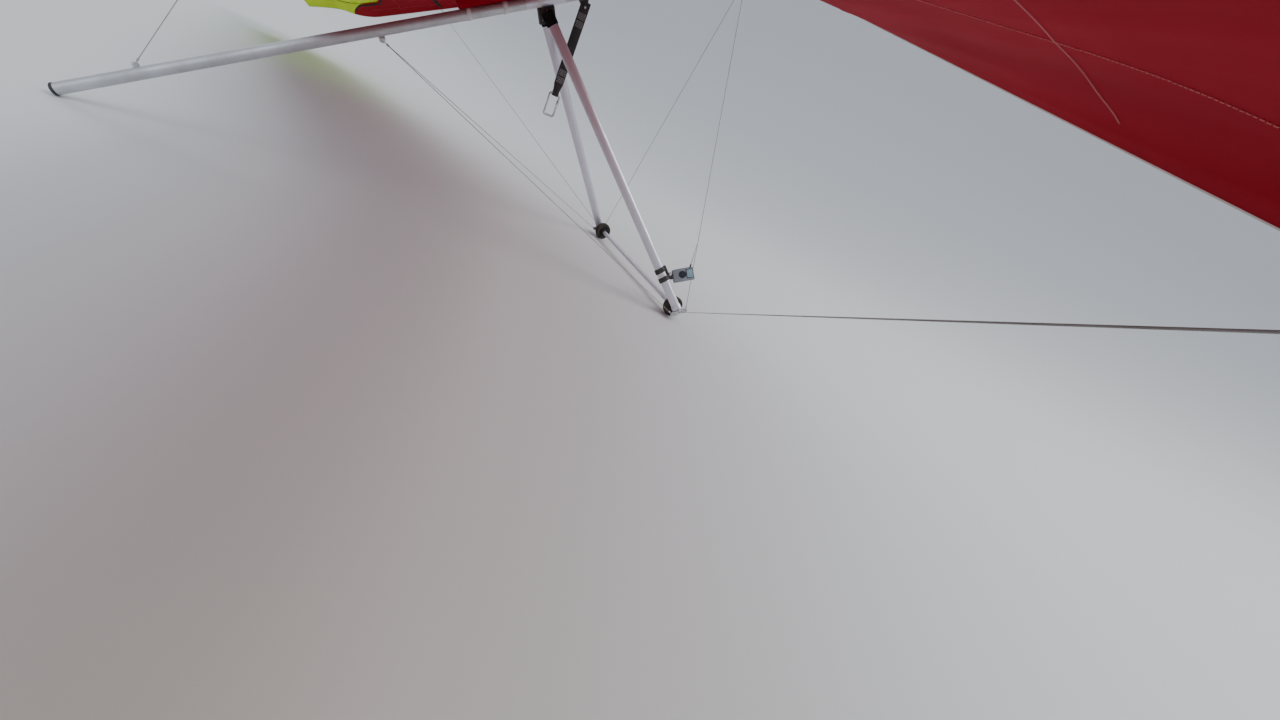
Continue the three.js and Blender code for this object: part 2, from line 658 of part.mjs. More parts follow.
const starTop = vec(0, -POST_TOP_Y, POST_TOP_Z);
const starCorner = vec(CORNER_X, -CORNER_Y, CORNER_Z);
const postLength = starTop.distanceTo(starCorner);
const bandStarts = BAND_PARTS.map((part) => part * postLength);

function band(start) {
  const shape = streamlined(POST_CHORD + 2 * BAND_WALL, POST_THICKNESS + 2 * BAND_WALL);
  const hole = streamlined(POST_CHORD + 2 * BAND_CLEARANCE, POST_THICKNESS + 2 * BAND_CLEARANCE);
  shape.holes.push(new THREE.Path(hole.getPoints(8).reverse()));
  const options = { depth: BAND_LENGTH, bevelEnabled: false, curveSegments: 8 };
  return new THREE.ExtrudeGeometry(shape, options).translate(0, 0, start);
}

const spineFrom = POST_CHORD / 2 + SPINE_INNER;
const spineTo = POST_CHORD / 2 + SPINE_OUTER;
const spineAcross = [-SPINE_HALF_WIDTH, SPINE_HALF_WIDTH];
const spine = box(spineFrom, spineTo, ...spineAcross, bandStarts[0], bandStarts[1] + BAND_LENGTH);
const clamp = toSolid(band(bandStarts[0])).add(toSolid(band(bandStarts[1]))).add(toSolid(spine));
const clampMesh = lay(add('instrument_clamp', fromSolid(clamp), blackPlastic()), starTop, starCorner);

// The case stands on edge: its broad face looks out to starboard and up
const CASE_CENTRE = vec(490, -560, -1366);
const CASE_FACE = vec(-0.15, -0.75, 0.64);
const CASE_ALONG = vec(1, -0.1, -0.06);
const CASE_HALF_LENGTH = 64;
const CASE_HALF_WIDTH = 38;
const CASE_HALF_DEPTH = 14;
const caseTilt = lay(new THREE.Group(), CASE_CENTRE, CASE_CENTRE.clone().add(CASE_FACE), CASE_ALONG);
glider.add(caseTilt);
const caseAcross = [-CASE_HALF_WIDTH, CASE_HALF_WIDTH, -CASE_HALF_DEPTH, CASE_HALF_DEPTH];
add('instrument_case', box(-CASE_HALF_LENGTH, CASE_HALF_LENGTH, ...caseAcross), greyCase(), caseTilt);
rod('speed_probe', vec(540, -556, -1318), vec(579, -560, -1177), 2.5, finish('#d9cfae', 0.5, 0));

// The arm: a knob square to the clamp's spine, an oblique rod and a boss on the case's end
const KNOB_ALONG = 1430;
const KNOB_RADIUS = 9;
const KNOB_LENGTH = 15;
const ARM_RADIUS = 6;
const BOSS_LENGTH = 16;
const BOSS_HALF_WIDTH = 14;
const BOSS_HALF_DEPTH = 12;

clampMesh.updateMatrix();
caseTilt.updateMatrix();
const knob = new THREE.CylinderGeometry(KNOB_RADIUS, KNOB_RADIUS, KNOB_LENGTH, 20).rotateZ(Math.PI / 2);
knob.translate(spineTo + GAP + KNOB_LENGTH / 2, 0, KNOB_ALONG);
const bossEnd = -CASE_HALF_LENGTH - GAP;
const bossAcross = [-BOSS_HALF_WIDTH, BOSS_HALF_WIDTH, -BOSS_HALF_DEPTH, BOSS_HALF_DEPTH];
const boss = box(bossEnd - BOSS_LENGTH, bossEnd, ...bossAcross);
const armFrom = vec(spineTo + KNOB_LENGTH / 2, 0, KNOB_ALONG).applyMatrix4(clampMesh.matrix);
const armTo = vec(bossEnd - BOSS_LENGTH / 2, 0, 0).applyMatrix4(caseTilt.matrix);
const armLength = armFrom.distanceTo(armTo);
const armRod = new THREE.CylinderGeometry(ARM_RADIUS, ARM_RADIUS, armLength, 16).rotateX(Math.PI / 2);
armRod.translate(0, 0, armLength / 2);
const armPlace = lay(new THREE.Object3D(), armFrom, armTo);
armPlace.updateMatrix();
const arm = toSolid(knob, clampMesh.matrix)
  .add(toSolid(armRod, armPlace.matrix))
  .add(toSolid(boss, caseTilt.matrix));
add('instrument_arm', fromSolid(arm), blackPlastic());

// Park the glider: turned nose up, its wheels and keel end at height zero, and centred

glider.rotation.y = -PITCH;
glider.position.z = KEEL_HEIGHT;

const hangGlider = new THREE.Group();
hangGlider.add(glider);
hangGlider.updateMatrixWorld(true);
const bounds = new THREE.Box3().setFromObject(hangGlider, true);
glider.position.x = -(bounds.min.x + bounds.max.x) / 2;
glider.updateMatrixWorld(true);

export default hangGlider;
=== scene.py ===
# %% [markdown]
# # A hang glider, dressed in Blender
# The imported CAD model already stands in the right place: wheels and keel end on the
# floor, nose up. This lesson gives that frame its looks. Cloth is made again as thin
# sheets, tubes and fittings are made again with rounded edges, and small repeated
# things, such as batten pockets, stitches, bolts and swages, come from Geometry Nodes.

import json
import math

import bmesh
import bpy
import numpy as np
from mathutils import Matrix, Vector
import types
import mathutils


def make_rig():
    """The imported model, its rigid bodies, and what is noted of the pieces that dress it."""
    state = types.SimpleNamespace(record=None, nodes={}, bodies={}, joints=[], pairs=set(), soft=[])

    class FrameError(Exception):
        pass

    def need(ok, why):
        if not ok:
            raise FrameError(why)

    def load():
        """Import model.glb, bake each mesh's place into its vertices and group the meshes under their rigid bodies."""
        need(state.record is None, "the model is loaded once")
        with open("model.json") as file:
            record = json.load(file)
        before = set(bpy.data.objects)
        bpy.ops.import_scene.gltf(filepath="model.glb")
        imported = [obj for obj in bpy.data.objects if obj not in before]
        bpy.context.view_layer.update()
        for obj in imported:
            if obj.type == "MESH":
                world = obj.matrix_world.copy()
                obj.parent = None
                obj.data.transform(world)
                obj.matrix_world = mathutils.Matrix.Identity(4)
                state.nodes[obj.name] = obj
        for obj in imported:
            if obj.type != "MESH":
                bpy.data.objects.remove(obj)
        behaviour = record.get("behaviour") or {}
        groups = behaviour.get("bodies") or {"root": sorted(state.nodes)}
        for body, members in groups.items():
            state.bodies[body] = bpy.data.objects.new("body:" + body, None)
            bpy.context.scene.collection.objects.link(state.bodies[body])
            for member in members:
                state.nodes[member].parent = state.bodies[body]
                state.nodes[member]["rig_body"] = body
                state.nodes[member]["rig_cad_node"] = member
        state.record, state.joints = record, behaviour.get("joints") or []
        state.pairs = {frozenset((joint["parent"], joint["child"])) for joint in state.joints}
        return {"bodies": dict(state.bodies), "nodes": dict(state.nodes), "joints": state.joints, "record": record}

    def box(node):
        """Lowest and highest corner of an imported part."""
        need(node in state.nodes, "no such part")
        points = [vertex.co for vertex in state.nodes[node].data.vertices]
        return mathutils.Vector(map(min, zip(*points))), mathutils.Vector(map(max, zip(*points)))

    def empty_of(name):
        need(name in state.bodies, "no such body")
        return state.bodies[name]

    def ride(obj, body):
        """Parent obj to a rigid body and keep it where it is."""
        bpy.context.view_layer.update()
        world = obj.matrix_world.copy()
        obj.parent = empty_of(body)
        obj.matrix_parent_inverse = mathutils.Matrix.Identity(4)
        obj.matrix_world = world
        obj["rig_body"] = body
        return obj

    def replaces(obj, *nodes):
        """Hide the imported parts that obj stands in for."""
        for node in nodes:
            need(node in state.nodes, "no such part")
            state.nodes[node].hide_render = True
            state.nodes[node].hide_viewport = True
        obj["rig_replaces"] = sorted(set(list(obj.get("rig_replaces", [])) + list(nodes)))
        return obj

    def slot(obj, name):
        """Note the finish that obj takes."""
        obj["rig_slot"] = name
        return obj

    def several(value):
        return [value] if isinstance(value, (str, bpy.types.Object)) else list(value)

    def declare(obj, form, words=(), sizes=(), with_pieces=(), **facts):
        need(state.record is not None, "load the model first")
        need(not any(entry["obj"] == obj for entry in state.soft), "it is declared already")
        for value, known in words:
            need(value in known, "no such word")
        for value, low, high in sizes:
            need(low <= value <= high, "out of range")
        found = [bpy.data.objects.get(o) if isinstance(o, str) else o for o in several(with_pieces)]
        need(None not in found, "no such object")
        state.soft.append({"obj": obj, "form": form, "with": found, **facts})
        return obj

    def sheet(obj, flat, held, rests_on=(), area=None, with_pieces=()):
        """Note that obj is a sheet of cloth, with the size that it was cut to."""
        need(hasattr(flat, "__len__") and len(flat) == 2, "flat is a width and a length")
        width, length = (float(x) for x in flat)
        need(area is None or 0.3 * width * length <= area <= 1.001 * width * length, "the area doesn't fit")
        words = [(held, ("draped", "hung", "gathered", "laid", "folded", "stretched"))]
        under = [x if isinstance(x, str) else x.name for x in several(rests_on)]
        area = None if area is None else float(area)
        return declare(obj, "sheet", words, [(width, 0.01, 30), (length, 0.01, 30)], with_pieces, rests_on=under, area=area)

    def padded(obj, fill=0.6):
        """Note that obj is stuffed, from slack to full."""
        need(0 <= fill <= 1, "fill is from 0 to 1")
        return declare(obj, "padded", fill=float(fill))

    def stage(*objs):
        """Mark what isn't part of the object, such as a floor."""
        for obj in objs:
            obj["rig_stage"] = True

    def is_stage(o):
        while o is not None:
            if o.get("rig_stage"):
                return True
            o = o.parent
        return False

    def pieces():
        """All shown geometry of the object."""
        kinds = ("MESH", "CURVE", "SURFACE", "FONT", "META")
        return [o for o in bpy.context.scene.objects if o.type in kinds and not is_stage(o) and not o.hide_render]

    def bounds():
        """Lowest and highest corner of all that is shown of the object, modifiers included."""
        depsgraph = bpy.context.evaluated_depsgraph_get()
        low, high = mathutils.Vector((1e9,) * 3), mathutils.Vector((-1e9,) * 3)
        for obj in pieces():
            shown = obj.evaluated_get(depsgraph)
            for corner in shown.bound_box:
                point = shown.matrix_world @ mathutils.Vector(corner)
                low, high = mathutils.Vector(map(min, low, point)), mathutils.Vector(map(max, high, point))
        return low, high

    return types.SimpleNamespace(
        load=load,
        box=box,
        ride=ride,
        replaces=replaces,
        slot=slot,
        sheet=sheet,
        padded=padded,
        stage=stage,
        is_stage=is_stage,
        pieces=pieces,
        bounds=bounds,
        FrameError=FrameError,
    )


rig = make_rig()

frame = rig.load()
cad_low, cad_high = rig.bounds()
print("CAD box in metres:", [round(v, 3) for v in (*cad_low, *cad_high)])

# %% [markdown]
# ## Two frames of reference
# A wing is easiest to describe along its keel: x forward, y to port, z square to the
# keel. The parked glider is that drawing turned nose up about the wheels. One function
# carries points from the keel frame to the floor's frame, so every later cell can use
# plain numbers of the real object. The turn comes from the same few sizes as the CAD.

# %% The keel frame and the parked attitude
KEEL_RADIUS = 0.024
KEEL_CAP_RADIUS = 0.0255
KEEL_CAP_EDGE_X = -2.200
KEEL_CAP_END_X = -2.204
KEEL_REAR_X = -2.188
KEEL_FRONT_X = 1.170
CORNER = (0.392, 0.695, -1.516)
WHEEL_RADIUS = 0.060
SIDES = (("port", 1), ("starboard", -1))

reach_x = CORNER[0] - KEEL_CAP_EDGE_X
reach_z = CORNER[2] + KEEL_CAP_RADIUS
PITCH = math.atan2(-reach_z, reach_x) + math.asin(WHEEL_RADIUS / math.hypot(reach_x, reach_z))
COS, SIN = math.cos(PITCH), math.sin(PITCH)
KEEL_HEIGHT = KEEL_CAP_RADIUS * COS - KEEL_CAP_EDGE_X * SIN
tyre_low, tyre_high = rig.box("wheel_tyre_port")
CENTRE_X = (tyre_low.x + tyre_high.x) / 2 - CORNER[0] * COS + CORNER[2] * SIN


def park(points):
    """Carries points of the keel frame, in metres, to the parked glider."""
    p = np.asarray(points, float)
    x = p[..., 0] * COS - p[..., 2] * SIN + CENTRE_X
    z = p[..., 0] * SIN + p[..., 2] * COS + KEEL_HEIGHT
    return np.stack([x, p[..., 1], z], axis=-1)


def turn(direction):
    """Turns a direction of the keel frame into the parked attitude."""
    x, y, z = direction
    return Vector((x * COS - z * SIN, y, x * SIN + z * COS))


print("nose up by", round(math.degrees(PITCH), 2), "degrees")

# %% [markdown]
# ## Camera, light and floor
# The photo was taken from under the starboard wing, looking in at the control frame.
# The camera keeps that place on the glider, so it leans with the parked attitude. The
# real lens was a fisheye. A plain perspective lens as wide as this one comes within
# about a hundredth of the frame of it. A round cove, one curved sheet without a corner,
# gives a floor and a background with no horizon line across the picture.

# %% The camera
FRAME_WIDTH = 1280
SENSOR_WIDTH = 36.0
FOCAL_PIXELS = 496
SHIFT_PIXELS = (71, 27)
CAMERA_AT = (-0.757, -2.983, 0.138)
CAMERA_FORWARD = (0.1389, 0.7487, -0.6482)
CAMERA_UP = (0.2812, 0.5978, 0.7507)

camera_data = bpy.data.cameras.new("camera")
camera_data.sensor_width = SENSOR_WIDTH
camera_data.lens = FOCAL_PIXELS / FRAME_WIDTH * SENSOR_WIDTH
camera_data.shift_x = SHIFT_PIXELS[0] / FRAME_WIDTH
camera_data.shift_y = SHIFT_PIXELS[1] / FRAME_WIDTH
camera_data.clip_start = 0.02
camera = bpy.data.objects.new("camera", camera_data)
bpy.context.scene.collection.objects.link(camera)
forward = turn(CAMERA_FORWARD).normalized()
up = turn(CAMERA_UP)
across = forward.cross(up).normalized()
axes = Matrix((across, across.cross(forward), -forward)).transposed().to_4x4()
camera.matrix_world = Matrix.Translation(Vector(park(CAMERA_AT))) @ axes
bpy.context.scene.camera = camera
print("lens", round(camera_data.lens, 2), "mm at", [round(v, 2) for v in park(CAMERA_AT)])


# %% Lights
def area_light(name, at, aim, size, power, colour):
    data = bpy.data.lights.new(name, "AREA")
    data.shape = "DISK"
    data.size = size
    data.energy = power
    data.color = colour
    lamp = bpy.data.objects.new(name, data)
    bpy.context.scene.collection.objects.link(lamp)
    lamp.location = at
    lamp.rotation_mode = "QUATERNION"
    lamp.rotation_quaternion = (Vector(aim) - Vector(at)).to_track_quat("-Z", "Y")
    return lamp


area_light("key light", (7.0, -4.5, 9.0), (0, 0, 0.8), 7.0, 620, (1.0, 0.97, 0.93))
area_light("fill light", (-8.0, -7.0, 6.0), (0, 0, 0.8), 8.0, 330, (0.90, 0.94, 1.0))
area_light("back light", (-3.0, 10.0, 8.0), (0, 0, 1.0), 7.0, 330, (0.95, 0.97, 1.0))

world = bpy.data.worlds.new("studio")
world.use_nodes = True
world.node_tree.nodes["Background"].inputs["Color"].default_value = (0.86, 0.91, 1.0, 1)
world.node_tree.nodes["Background"].inputs["Strength"].default_value = 0.75
bpy.context.scene.world = world
print("three lamps and a pale sky")

# %% The cove
COVE_FLOOR_RADIUS, COVE_FILLET, COVE_WALL_TOP, COVE_SEGMENTS = 7.0, 20.0, 24.0, 96


def full_turn(count):
    """Evenly spaced angles once round."""
    return [2 * math.pi * k / count for k in range(count)]


def cove_profile():
    """Pairs of radius and height: the floor, the fillet and the top of the wall."""
    floor = [(radius, 0.0) for radius in (2.0, 4.5, COVE_FLOOR_RADIUS)]
    bends = [math.radians(degrees) for degrees in range(6, 91, 6)]
    fillet = [
        (COVE_FLOOR_RADIUS + COVE_FILLET * math.sin(b), COVE_FILLET * (1 - math.cos(b)))
        for b in bends
    ]
    return floor + fillet + [(COVE_FLOOR_RADIUS + COVE_FILLET, COVE_WALL_TOP)]


def disc_faces(rings, spokes):
    """Faces of a disc: a fan round its middle point, then quads from ring to ring."""
    faces = []
    for k in range(spokes):
        n = (k + 1) % spokes
        faces.append((0, 1 + k, 1 + n))
        for i in range(rings - 1):
            a, b = 1 + i * spokes, 1 + (i + 1) * spokes
            faces.append((a + k, b + k, b + n, a + n))
    return faces


def make_cove():
    rings = cove_profile()
    points = [(0, 0, 0)]
    for radius, height in rings:
        for a in full_turn(COVE_SEGMENTS):
            points.append((radius * math.cos(a), radius * math.sin(a), height))
    mesh = bpy.data.meshes.new("cove")
    mesh.from_pydata(points, [], disc_faces(len(rings), COVE_SEGMENTS))
    mesh.shade_smooth()
    cove = bpy.data.objects.new("cove", mesh)
    bpy.context.scene.collection.objects.link(cove)
    paint = bpy.data.materials.new("cove paint")
    paint.use_nodes = True
    shader = paint.node_tree.nodes["Principled BSDF"]
    shader.inputs["Base Color"].default_value = (0.74, 0.75, 0.76, 1)
    shader.inputs["Roughness"].default_value = 0.9
    shader.inputs["Specular IOR Level"].default_value = 0.15
    mesh.materials.append(paint)
    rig.stage(cove)
    return cove


cove = make_cove()
print("cove of", len(cove.data.polygons), "faces")

# %% [markdown]
# ## Shader groups
# Several finishes share the same effects, so each effect is one node group with named
# inputs: uneven soiling on every surface, the threads of the cloth and the ribs of the
# webbing, and the slow wrinkles of cloth under tension, which also paint their own shade
# into the colour, darker in the hollows and lighter on the crests. A group only hands out
# what changes over the surface. Plain numbers stay on the shader itself.


# %% Helpers that build node trees
def feed(tree, slot, value):
    """Gives an input a plain value, or links the outputs of other nodes to it."""
    for one in value if isinstance(value, list) else [value]:
        if hasattr(one, "links"):
            tree.links.new(one, slot)
        else:
            slot.default_value = one


def node(tree, kind, **given):
    """A new node's outputs. Names in small letters are settings, the others are inputs."""
    made = tree.nodes.new(kind)
    for label, value in given.items():
        if label.islower():
            setattr(made, label, value)
        else:
            feed(tree, made.inputs[label.replace("_", " ")], value)
    return made.outputs


def math_node(tree, operation, *values, clamp=False):
    made = tree.nodes.new("ShaderNodeMath")
    made.operation, made.use_clamp = operation, clamp
    for slot, value in zip(made.inputs, values):
        feed(tree, slot, value)
    return made.outputs[0]


def mix_colour(tree, factor, first, second, blend="MIX"):
    made = tree.nodes.new("ShaderNodeMix")
    made.data_type, made.blend_type = "RGBA", blend
    for slot, value in ((0, factor), (6, first), (7, second)):
        feed(tree, made.inputs[slot], value)
    return made.outputs[2]


SOCKET_KINDS = {float: "Float", tuple: "Color"}


def new_group(tree_kind, name, inputs, outputs):
    """An empty node group, what comes into it and what goes out.

    Each input has a name and either a default value or the kind of its socket.
    """
    tree = bpy.data.node_groups.new(name, tree_kind)
    for way, table in (("INPUT", inputs), ("OUTPUT", outputs)):
        for label, value in table.items():
            kind = "NodeSocket" + SOCKET_KINDS.get(type(value), str(value))
            socket = tree.interface.new_socket(name=label, in_out=way, socket_type=kind)
            if type(value) in SOCKET_KINDS:
                socket.default_value = value
    return tree, tree.nodes.new("NodeGroupInput").outputs, tree.nodes.new("NodeGroupOutput").inputs


# %% Soiling: a slow drift of colour and roughness with fine specks
def make_soiling():
    inputs = {
        "Colour": (0.5, 0.5, 0.5, 1), "Dirt": (0.2, 0.17, 0.13, 1), "Patch scale": 4.0,
        "Dirt amount": 0.3, "Roughness": 0.4, "Roughness drift": 0.15,
    }
    outputs = {"Colour": "Color", "Roughness": "Float", "Height": "Float"}
    tree, given, made = new_group("ShaderNodeTree", "soiling", inputs, outputs)
    place, scale = node(tree, "ShaderNodeTexCoord")["Object"], given["Patch scale"]
    noise = "ShaderNodeTexNoise"
    patches = node(tree, noise, Vector=place, Scale=scale, Detail=5.0, Roughness=0.6)["Fac"]
    specks = node(tree, noise, Vector=place, Scale=260.0, Detail=3.0)["Fac"]
    wide = math_node(tree, "MULTIPLY_ADD", patches, 3.0, -1.2, clamp=True)
    fine = math_node(tree, "MULTIPLY_ADD", specks, 0.5, 0.75)
    cover = math_node(tree, "MULTIPLY", wide, fine, clamp=True)
    share = math_node(tree, "MULTIPLY", cover, given["Dirt amount"], clamp=True)
    change = math_node(tree, "MULTIPLY", cover, given["Roughness drift"])
    feed(tree, made["Colour"], mix_colour(tree, share, given["Colour"], given["Dirt"]))
    feed(tree, made["Roughness"], math_node(tree, "ADD", given["Roughness"], change, clamp=True))
    feed(tree, made["Height"], specks)
    return tree


soiling = make_soiling()


# %% Threads: a square weave in the piece's own map, whose units are metres
def cloth_map(tree):
    return node(tree, "ShaderNodeUVMap", uv_map="cloth")["UV"]


def make_threads():
    inputs = {"Pitch along": 0.006, "Pitch across": 0.006}
    tree, given, made = new_group("ShaderNodeTree", "threads", inputs, {"Height": "Float"})
    where = node(tree, "ShaderNodeSeparateXYZ", Vector=cloth_map(tree))
    waves = []
    for axis, pitch in (("X", "Pitch along"), ("Y", "Pitch across")):
        turns = math_node(tree, "DIVIDE", where[axis], given[pitch])
        angle = math_node(tree, "MULTIPLY", turns, 2 * math.pi)
        wave = math_node(tree, "MULTIPLY_ADD", math_node(tree, "SINE", angle), 0.5, 0.5)
        waves.append(math_node(tree, "POWER", wave, 3.0))
    feed(tree, made["Height"], math_node(tree, "MAXIMUM", *waves))
    return tree


threads = make_threads()


# %% Slack: long shallow wrinkles that run with the cloth's tension, with painted shade in their hollows and painted light on their crests
def make_slack():
    inputs = {"Wrinkle length": 0.9, "Wrinkle width": 0.09}
    outputs = {"Height": "Float", "Shade": "Float"}
    tree, given, made = new_group("ShaderNodeTree", "slack", inputs, outputs)
    where = node(tree, "ShaderNodeSeparateXYZ", Vector=cloth_map(tree))
    along = math_node(tree, "DIVIDE", where["Y"], given["Wrinkle length"])
    across = math_node(tree, "DIVIDE", where["X"], given["Wrinkle width"])
    stretched = node(tree, "ShaderNodeCombineXYZ", X=across, Y=along)[0]
    height = node(
        tree, "ShaderNodeTexNoise", Vector=stretched, Scale=1.0, Detail=2.5, Distortion=0.4
    )["Fac"]
    feed(tree, made["Height"], height)
    # Painted light and shade of the wrinkles: the colour is multiplied from 0.75 in the hollows up to 1.25 on the
    # crests.
    feed(tree, made["Shade"], math_node(tree, "MULTIPLY_ADD", height, 0.5, 0.75))
    return tree


slack = make_slack()
print("shader groups:", [g.name for g in (soiling, threads, slack)])

# %% [markdown]
# ## Finishes
# Sailcloth is woven polyester: matt, with a fine weave and slow wrinkles. Tubes are
# drawn aluminium, bare on the keel and satin anodised on the control frame, with faint
# scratches along them. Every finish goes through the soiling group, because nothing
# that is carried to a take-off by hand stays clean.


# %% Helpers that make a finish
def start_finish(name, colour, dirt, roughness, amount, scale, drift=0.15, **shine):
    """A material whose colour and roughness pass through the soiling group."""
    made = bpy.data.materials.new(name)
    made.use_nodes = True
    tree = made.node_tree
    shader = tree.nodes["Principled BSDF"].inputs
    for label, value in shine.items():
        shader[label.replace("_", " ")].default_value = value
    group = node(
        tree, "ShaderNodeGroup", node_tree=soiling, Colour=(*colour, 1), Dirt=(*dirt, 1),
        Patch_scale=scale, Dirt_amount=amount, Roughness=roughness, Roughness_drift=drift,
    )
    feed(tree, shader["Base Color"], group["Colour"])
    feed(tree, shader["Roughness"], group["Roughness"])
    return made, tree, shader, group


def bump(tree, shader, height, distance, strength=1.0, **earlier):
    """A bump on the shader, on top of an earlier one that is given as Normal."""
    made = node(
        tree, "ShaderNodeBump", Distance=distance, Strength=strength, Height=height, **earlier
    )["Normal"]
    feed(tree, shader["Normal"], made)
    return made


def grained(name, colour, roughness, dirt=(0.16, 0.14, 0.12), grain=0.00012, amount=0.25,
            scale=18.0, drift=0.15, **shine):
    """A plain finish, with the specks of its soiling as a fine grain."""
    made, tree, shader, group = start_finish(
        name, colour, dirt, roughness, amount, scale, drift, **shine
    )
    bump(tree, shader, group["Height"], grain)
    return made


# %% Cloth finishes
WEAVE_HEIGHT, WEAVE_STRENGTH = 0.00003, 0.5
RIB_PITCH_ALONG, RIB_PITCH_ACROSS, RIB_HEIGHT = 0.0022, 0.0016, 0.0004


def sailcloth(name, colour, dirt, roughness=0.75, wrinkle=0.014):
    made, tree, shader, group = start_finish(
        name, colour, dirt, roughness, amount=0.22, scale=1.7, drift=0.1, Specular_IOR_Level=0.06
    )
    folds = node(tree, "ShaderNodeGroup", node_tree=slack)
    weave = node(tree, "ShaderNodeGroup", node_tree=threads)
    # The base colour takes the painted light and shade of the wrinkles from the slack group.
    shaded = mix_colour(tree, 1.0, group["Colour"], folds["Shade"], "MULTIPLY")
    feed(tree, shader["Base Color"], shaded)
    first = bump(tree, shader, folds["Height"], wrinkle)
    bump(tree, shader, weave["Height"], WEAVE_HEIGHT, WEAVE_STRENGTH, Normal=first)
    return made


def ribbed_webbing():
    made, tree, shader, group = start_finish(
        "black webbing", (0.018, 0.018, 0.021), (0.10, 0.09, 0.08), 0.8, amount=0.3, scale=25.0,
        Sheen_Weight=0.35,
    )
    weave = node(
        tree, "ShaderNodeGroup", node_tree=threads,
        Pitch_along=RIB_PITCH_ALONG, Pitch_across=RIB_PITCH_ACROSS,
    )
    bump(tree, shader, weave["Height"], RIB_HEIGHT)
    return made


red_cloth = sailcloth("red sailcloth", (0.35, 0.006, 0.021), (0.12, 0.012, 0.012))
lime_cloth = sailcloth("lime sailcloth", (0.70, 0.90, 0.045), (0.26, 0.34, 0.05))
white_cloth = sailcloth(
    "white sailcloth", (0.80, 0.78, 0.77), (0.48, 0.44, 0.40), wrinkle=0.002
)
trim_cloth = sailcloth(
    "black trim tape", (0.028, 0.030, 0.030), (0.09, 0.08, 0.07), 0.7, wrinkle=0.001
)
cover_cloth = sailcloth(
    "black cover cloth", (0.012, 0.012, 0.014), (0.06, 0.055, 0.05), wrinkle=0.003
)
SAIL_CLOTHS = [red_cloth, lime_cloth, white_cloth, trim_cloth]
webbing = ribbed_webbing()
print("cloth finishes:", len(SAIL_CLOTHS) + 2)

# %% Metal finishes
STREAKS_PER_METRE = (900.0, 9.0, 1.0)
SCRATCH_HEIGHT = 0.00006


def tube_metal(name, colour, dirt, roughness, streak, amount, metallic):
    """Drawn tube: streaks that run along the piece's own map."""
    made, tree, shader, group = start_finish(
        name, colour, dirt, roughness, amount, scale=6.0, drift=0.18, Metallic=metallic
    )
    drawn = node(tree, "ShaderNodeMapping", Vector=cloth_map(tree), Scale=STREAKS_PER_METRE)[0]
    noise = node(tree, "ShaderNodeTexNoise", Vector=drawn, Scale=1.0, Detail=3.0)["Fac"]
    drift = math_node(tree, "MULTIPLY_ADD", noise, streak, -streak / 2)
    feed(tree, shader["Roughness"], math_node(tree, "ADD", group["Roughness"], drift, clamp=True))
    bump(tree, shader, noise, SCRATCH_HEIGHT)
    return made


bare_tube = tube_metal(
    "bare aluminium tube", (0.62, 0.63, 0.66), (0.32, 0.30, 0.28), 0.50, 0.2, 0.35, 0.7
)
anodised = tube_metal(
    "pale anodised tube", (0.72, 0.70, 0.80), (0.46, 0.43, 0.42), 0.33, 0.12, 0.2, 0.55
)
METAL = dict(dirt=(0.20, 0.18, 0.16), grain=0.00005, scale=30.0, drift=0.2, Metallic=1.0)
steel = grained("stainless steel", (0.60, 0.61, 0.62), 0.26, amount=0.3, **METAL)
swage_metal = grained("plated sleeve", (0.50, 0.48, 0.45), 0.38, amount=0.3, **METAL)
bright_steel = grained("bright steel", (0.80, 0.80, 0.80), 0.12, amount=0.1, **METAL)
print("metal finishes:", [m.name for m in (bare_tube, anodised, steel, swage_metal, bright_steel)])

# %% Cable: strands twisted under a clear coat, with painted shade in the grooves between them
STRANDS, LAY_LENGTH, CABLE_ROUND = 6.0, 0.018, 2 * math.pi * 0.0015
STRAND_HEIGHT = 0.0003


def coated_cable():
    made, tree, shader, group = start_finish(
        "coated cable", (0.36, 0.35, 0.35), (0.17, 0.15, 0.14), 0.42, amount=0.35, scale=9.0,
        Metallic=0.6, Coat_Weight=0.4,
    )
    where = node(tree, "ShaderNodeSeparateXYZ", Vector=cloth_map(tree))
    about = math_node(tree, "DIVIDE", where["X"], CABLE_ROUND)
    along = math_node(tree, "DIVIDE", where["Y"], LAY_LENGTH)
    twist = math_node(tree, "MULTIPLY", math_node(tree, "ADD", about, along), STRANDS * math.pi)
    ridge = math_node(tree, "ABSOLUTE", math_node(tree, "SINE", twist))
    # Painted shade: the colour is halved in the grooves between strands and full on their crowns.
    dark = math_node(tree, "MULTIPLY_ADD", ridge, 0.5, 0.5)
    feed(tree, shader["Base Color"], mix_colour(tree, 1.0, group["Colour"], dark, "MULTIPLY"))
    bump(tree, shader, ridge, STRAND_HEIGHT)
    return made


cable = coated_cable()

# %% Plastics, rubber and threads
black_plastic = grained("black plastic", (0.018, 0.018, 0.020), 0.48)
rubber = grained("black rubber", (0.022, 0.021, 0.020), 0.82, (0.17, 0.14, 0.10), 0.0003, 0.55)
grey_case = grained("grey case plastic", (0.30, 0.34, 0.39), 0.42)
probe_plastic = grained("pale probe plastic", (0.78, 0.74, 0.62), 0.4, amount=0.15)
disc_plastic = grained("dark speaker disc", (0.010, 0.014, 0.030), 0.3)
pale_thread = grained("pale thread", (0.80, 0.62, 0.60), 0.7, amount=0.1)
white_thread = grained("white thread", (0.86, 0.85, 0.83), 0.7, amount=0.05)
seam_thread = grained("faded red thread", (0.52, 0.11, 0.13), 0.7, amount=0.1)
stitch_thread = grained("rose thread", (0.70, 0.17, 0.19), 0.8, amount=0.0)
display = grained(
    "display window", (0.30, 0.50, 0.60), 0.14, (0.20, 0.30, 0.36), 0.00002, 0.4, 60.0, 0.05,
    Coat_Weight=0.6,
)
print("all finishes made:", len(bpy.data.materials) - 1)

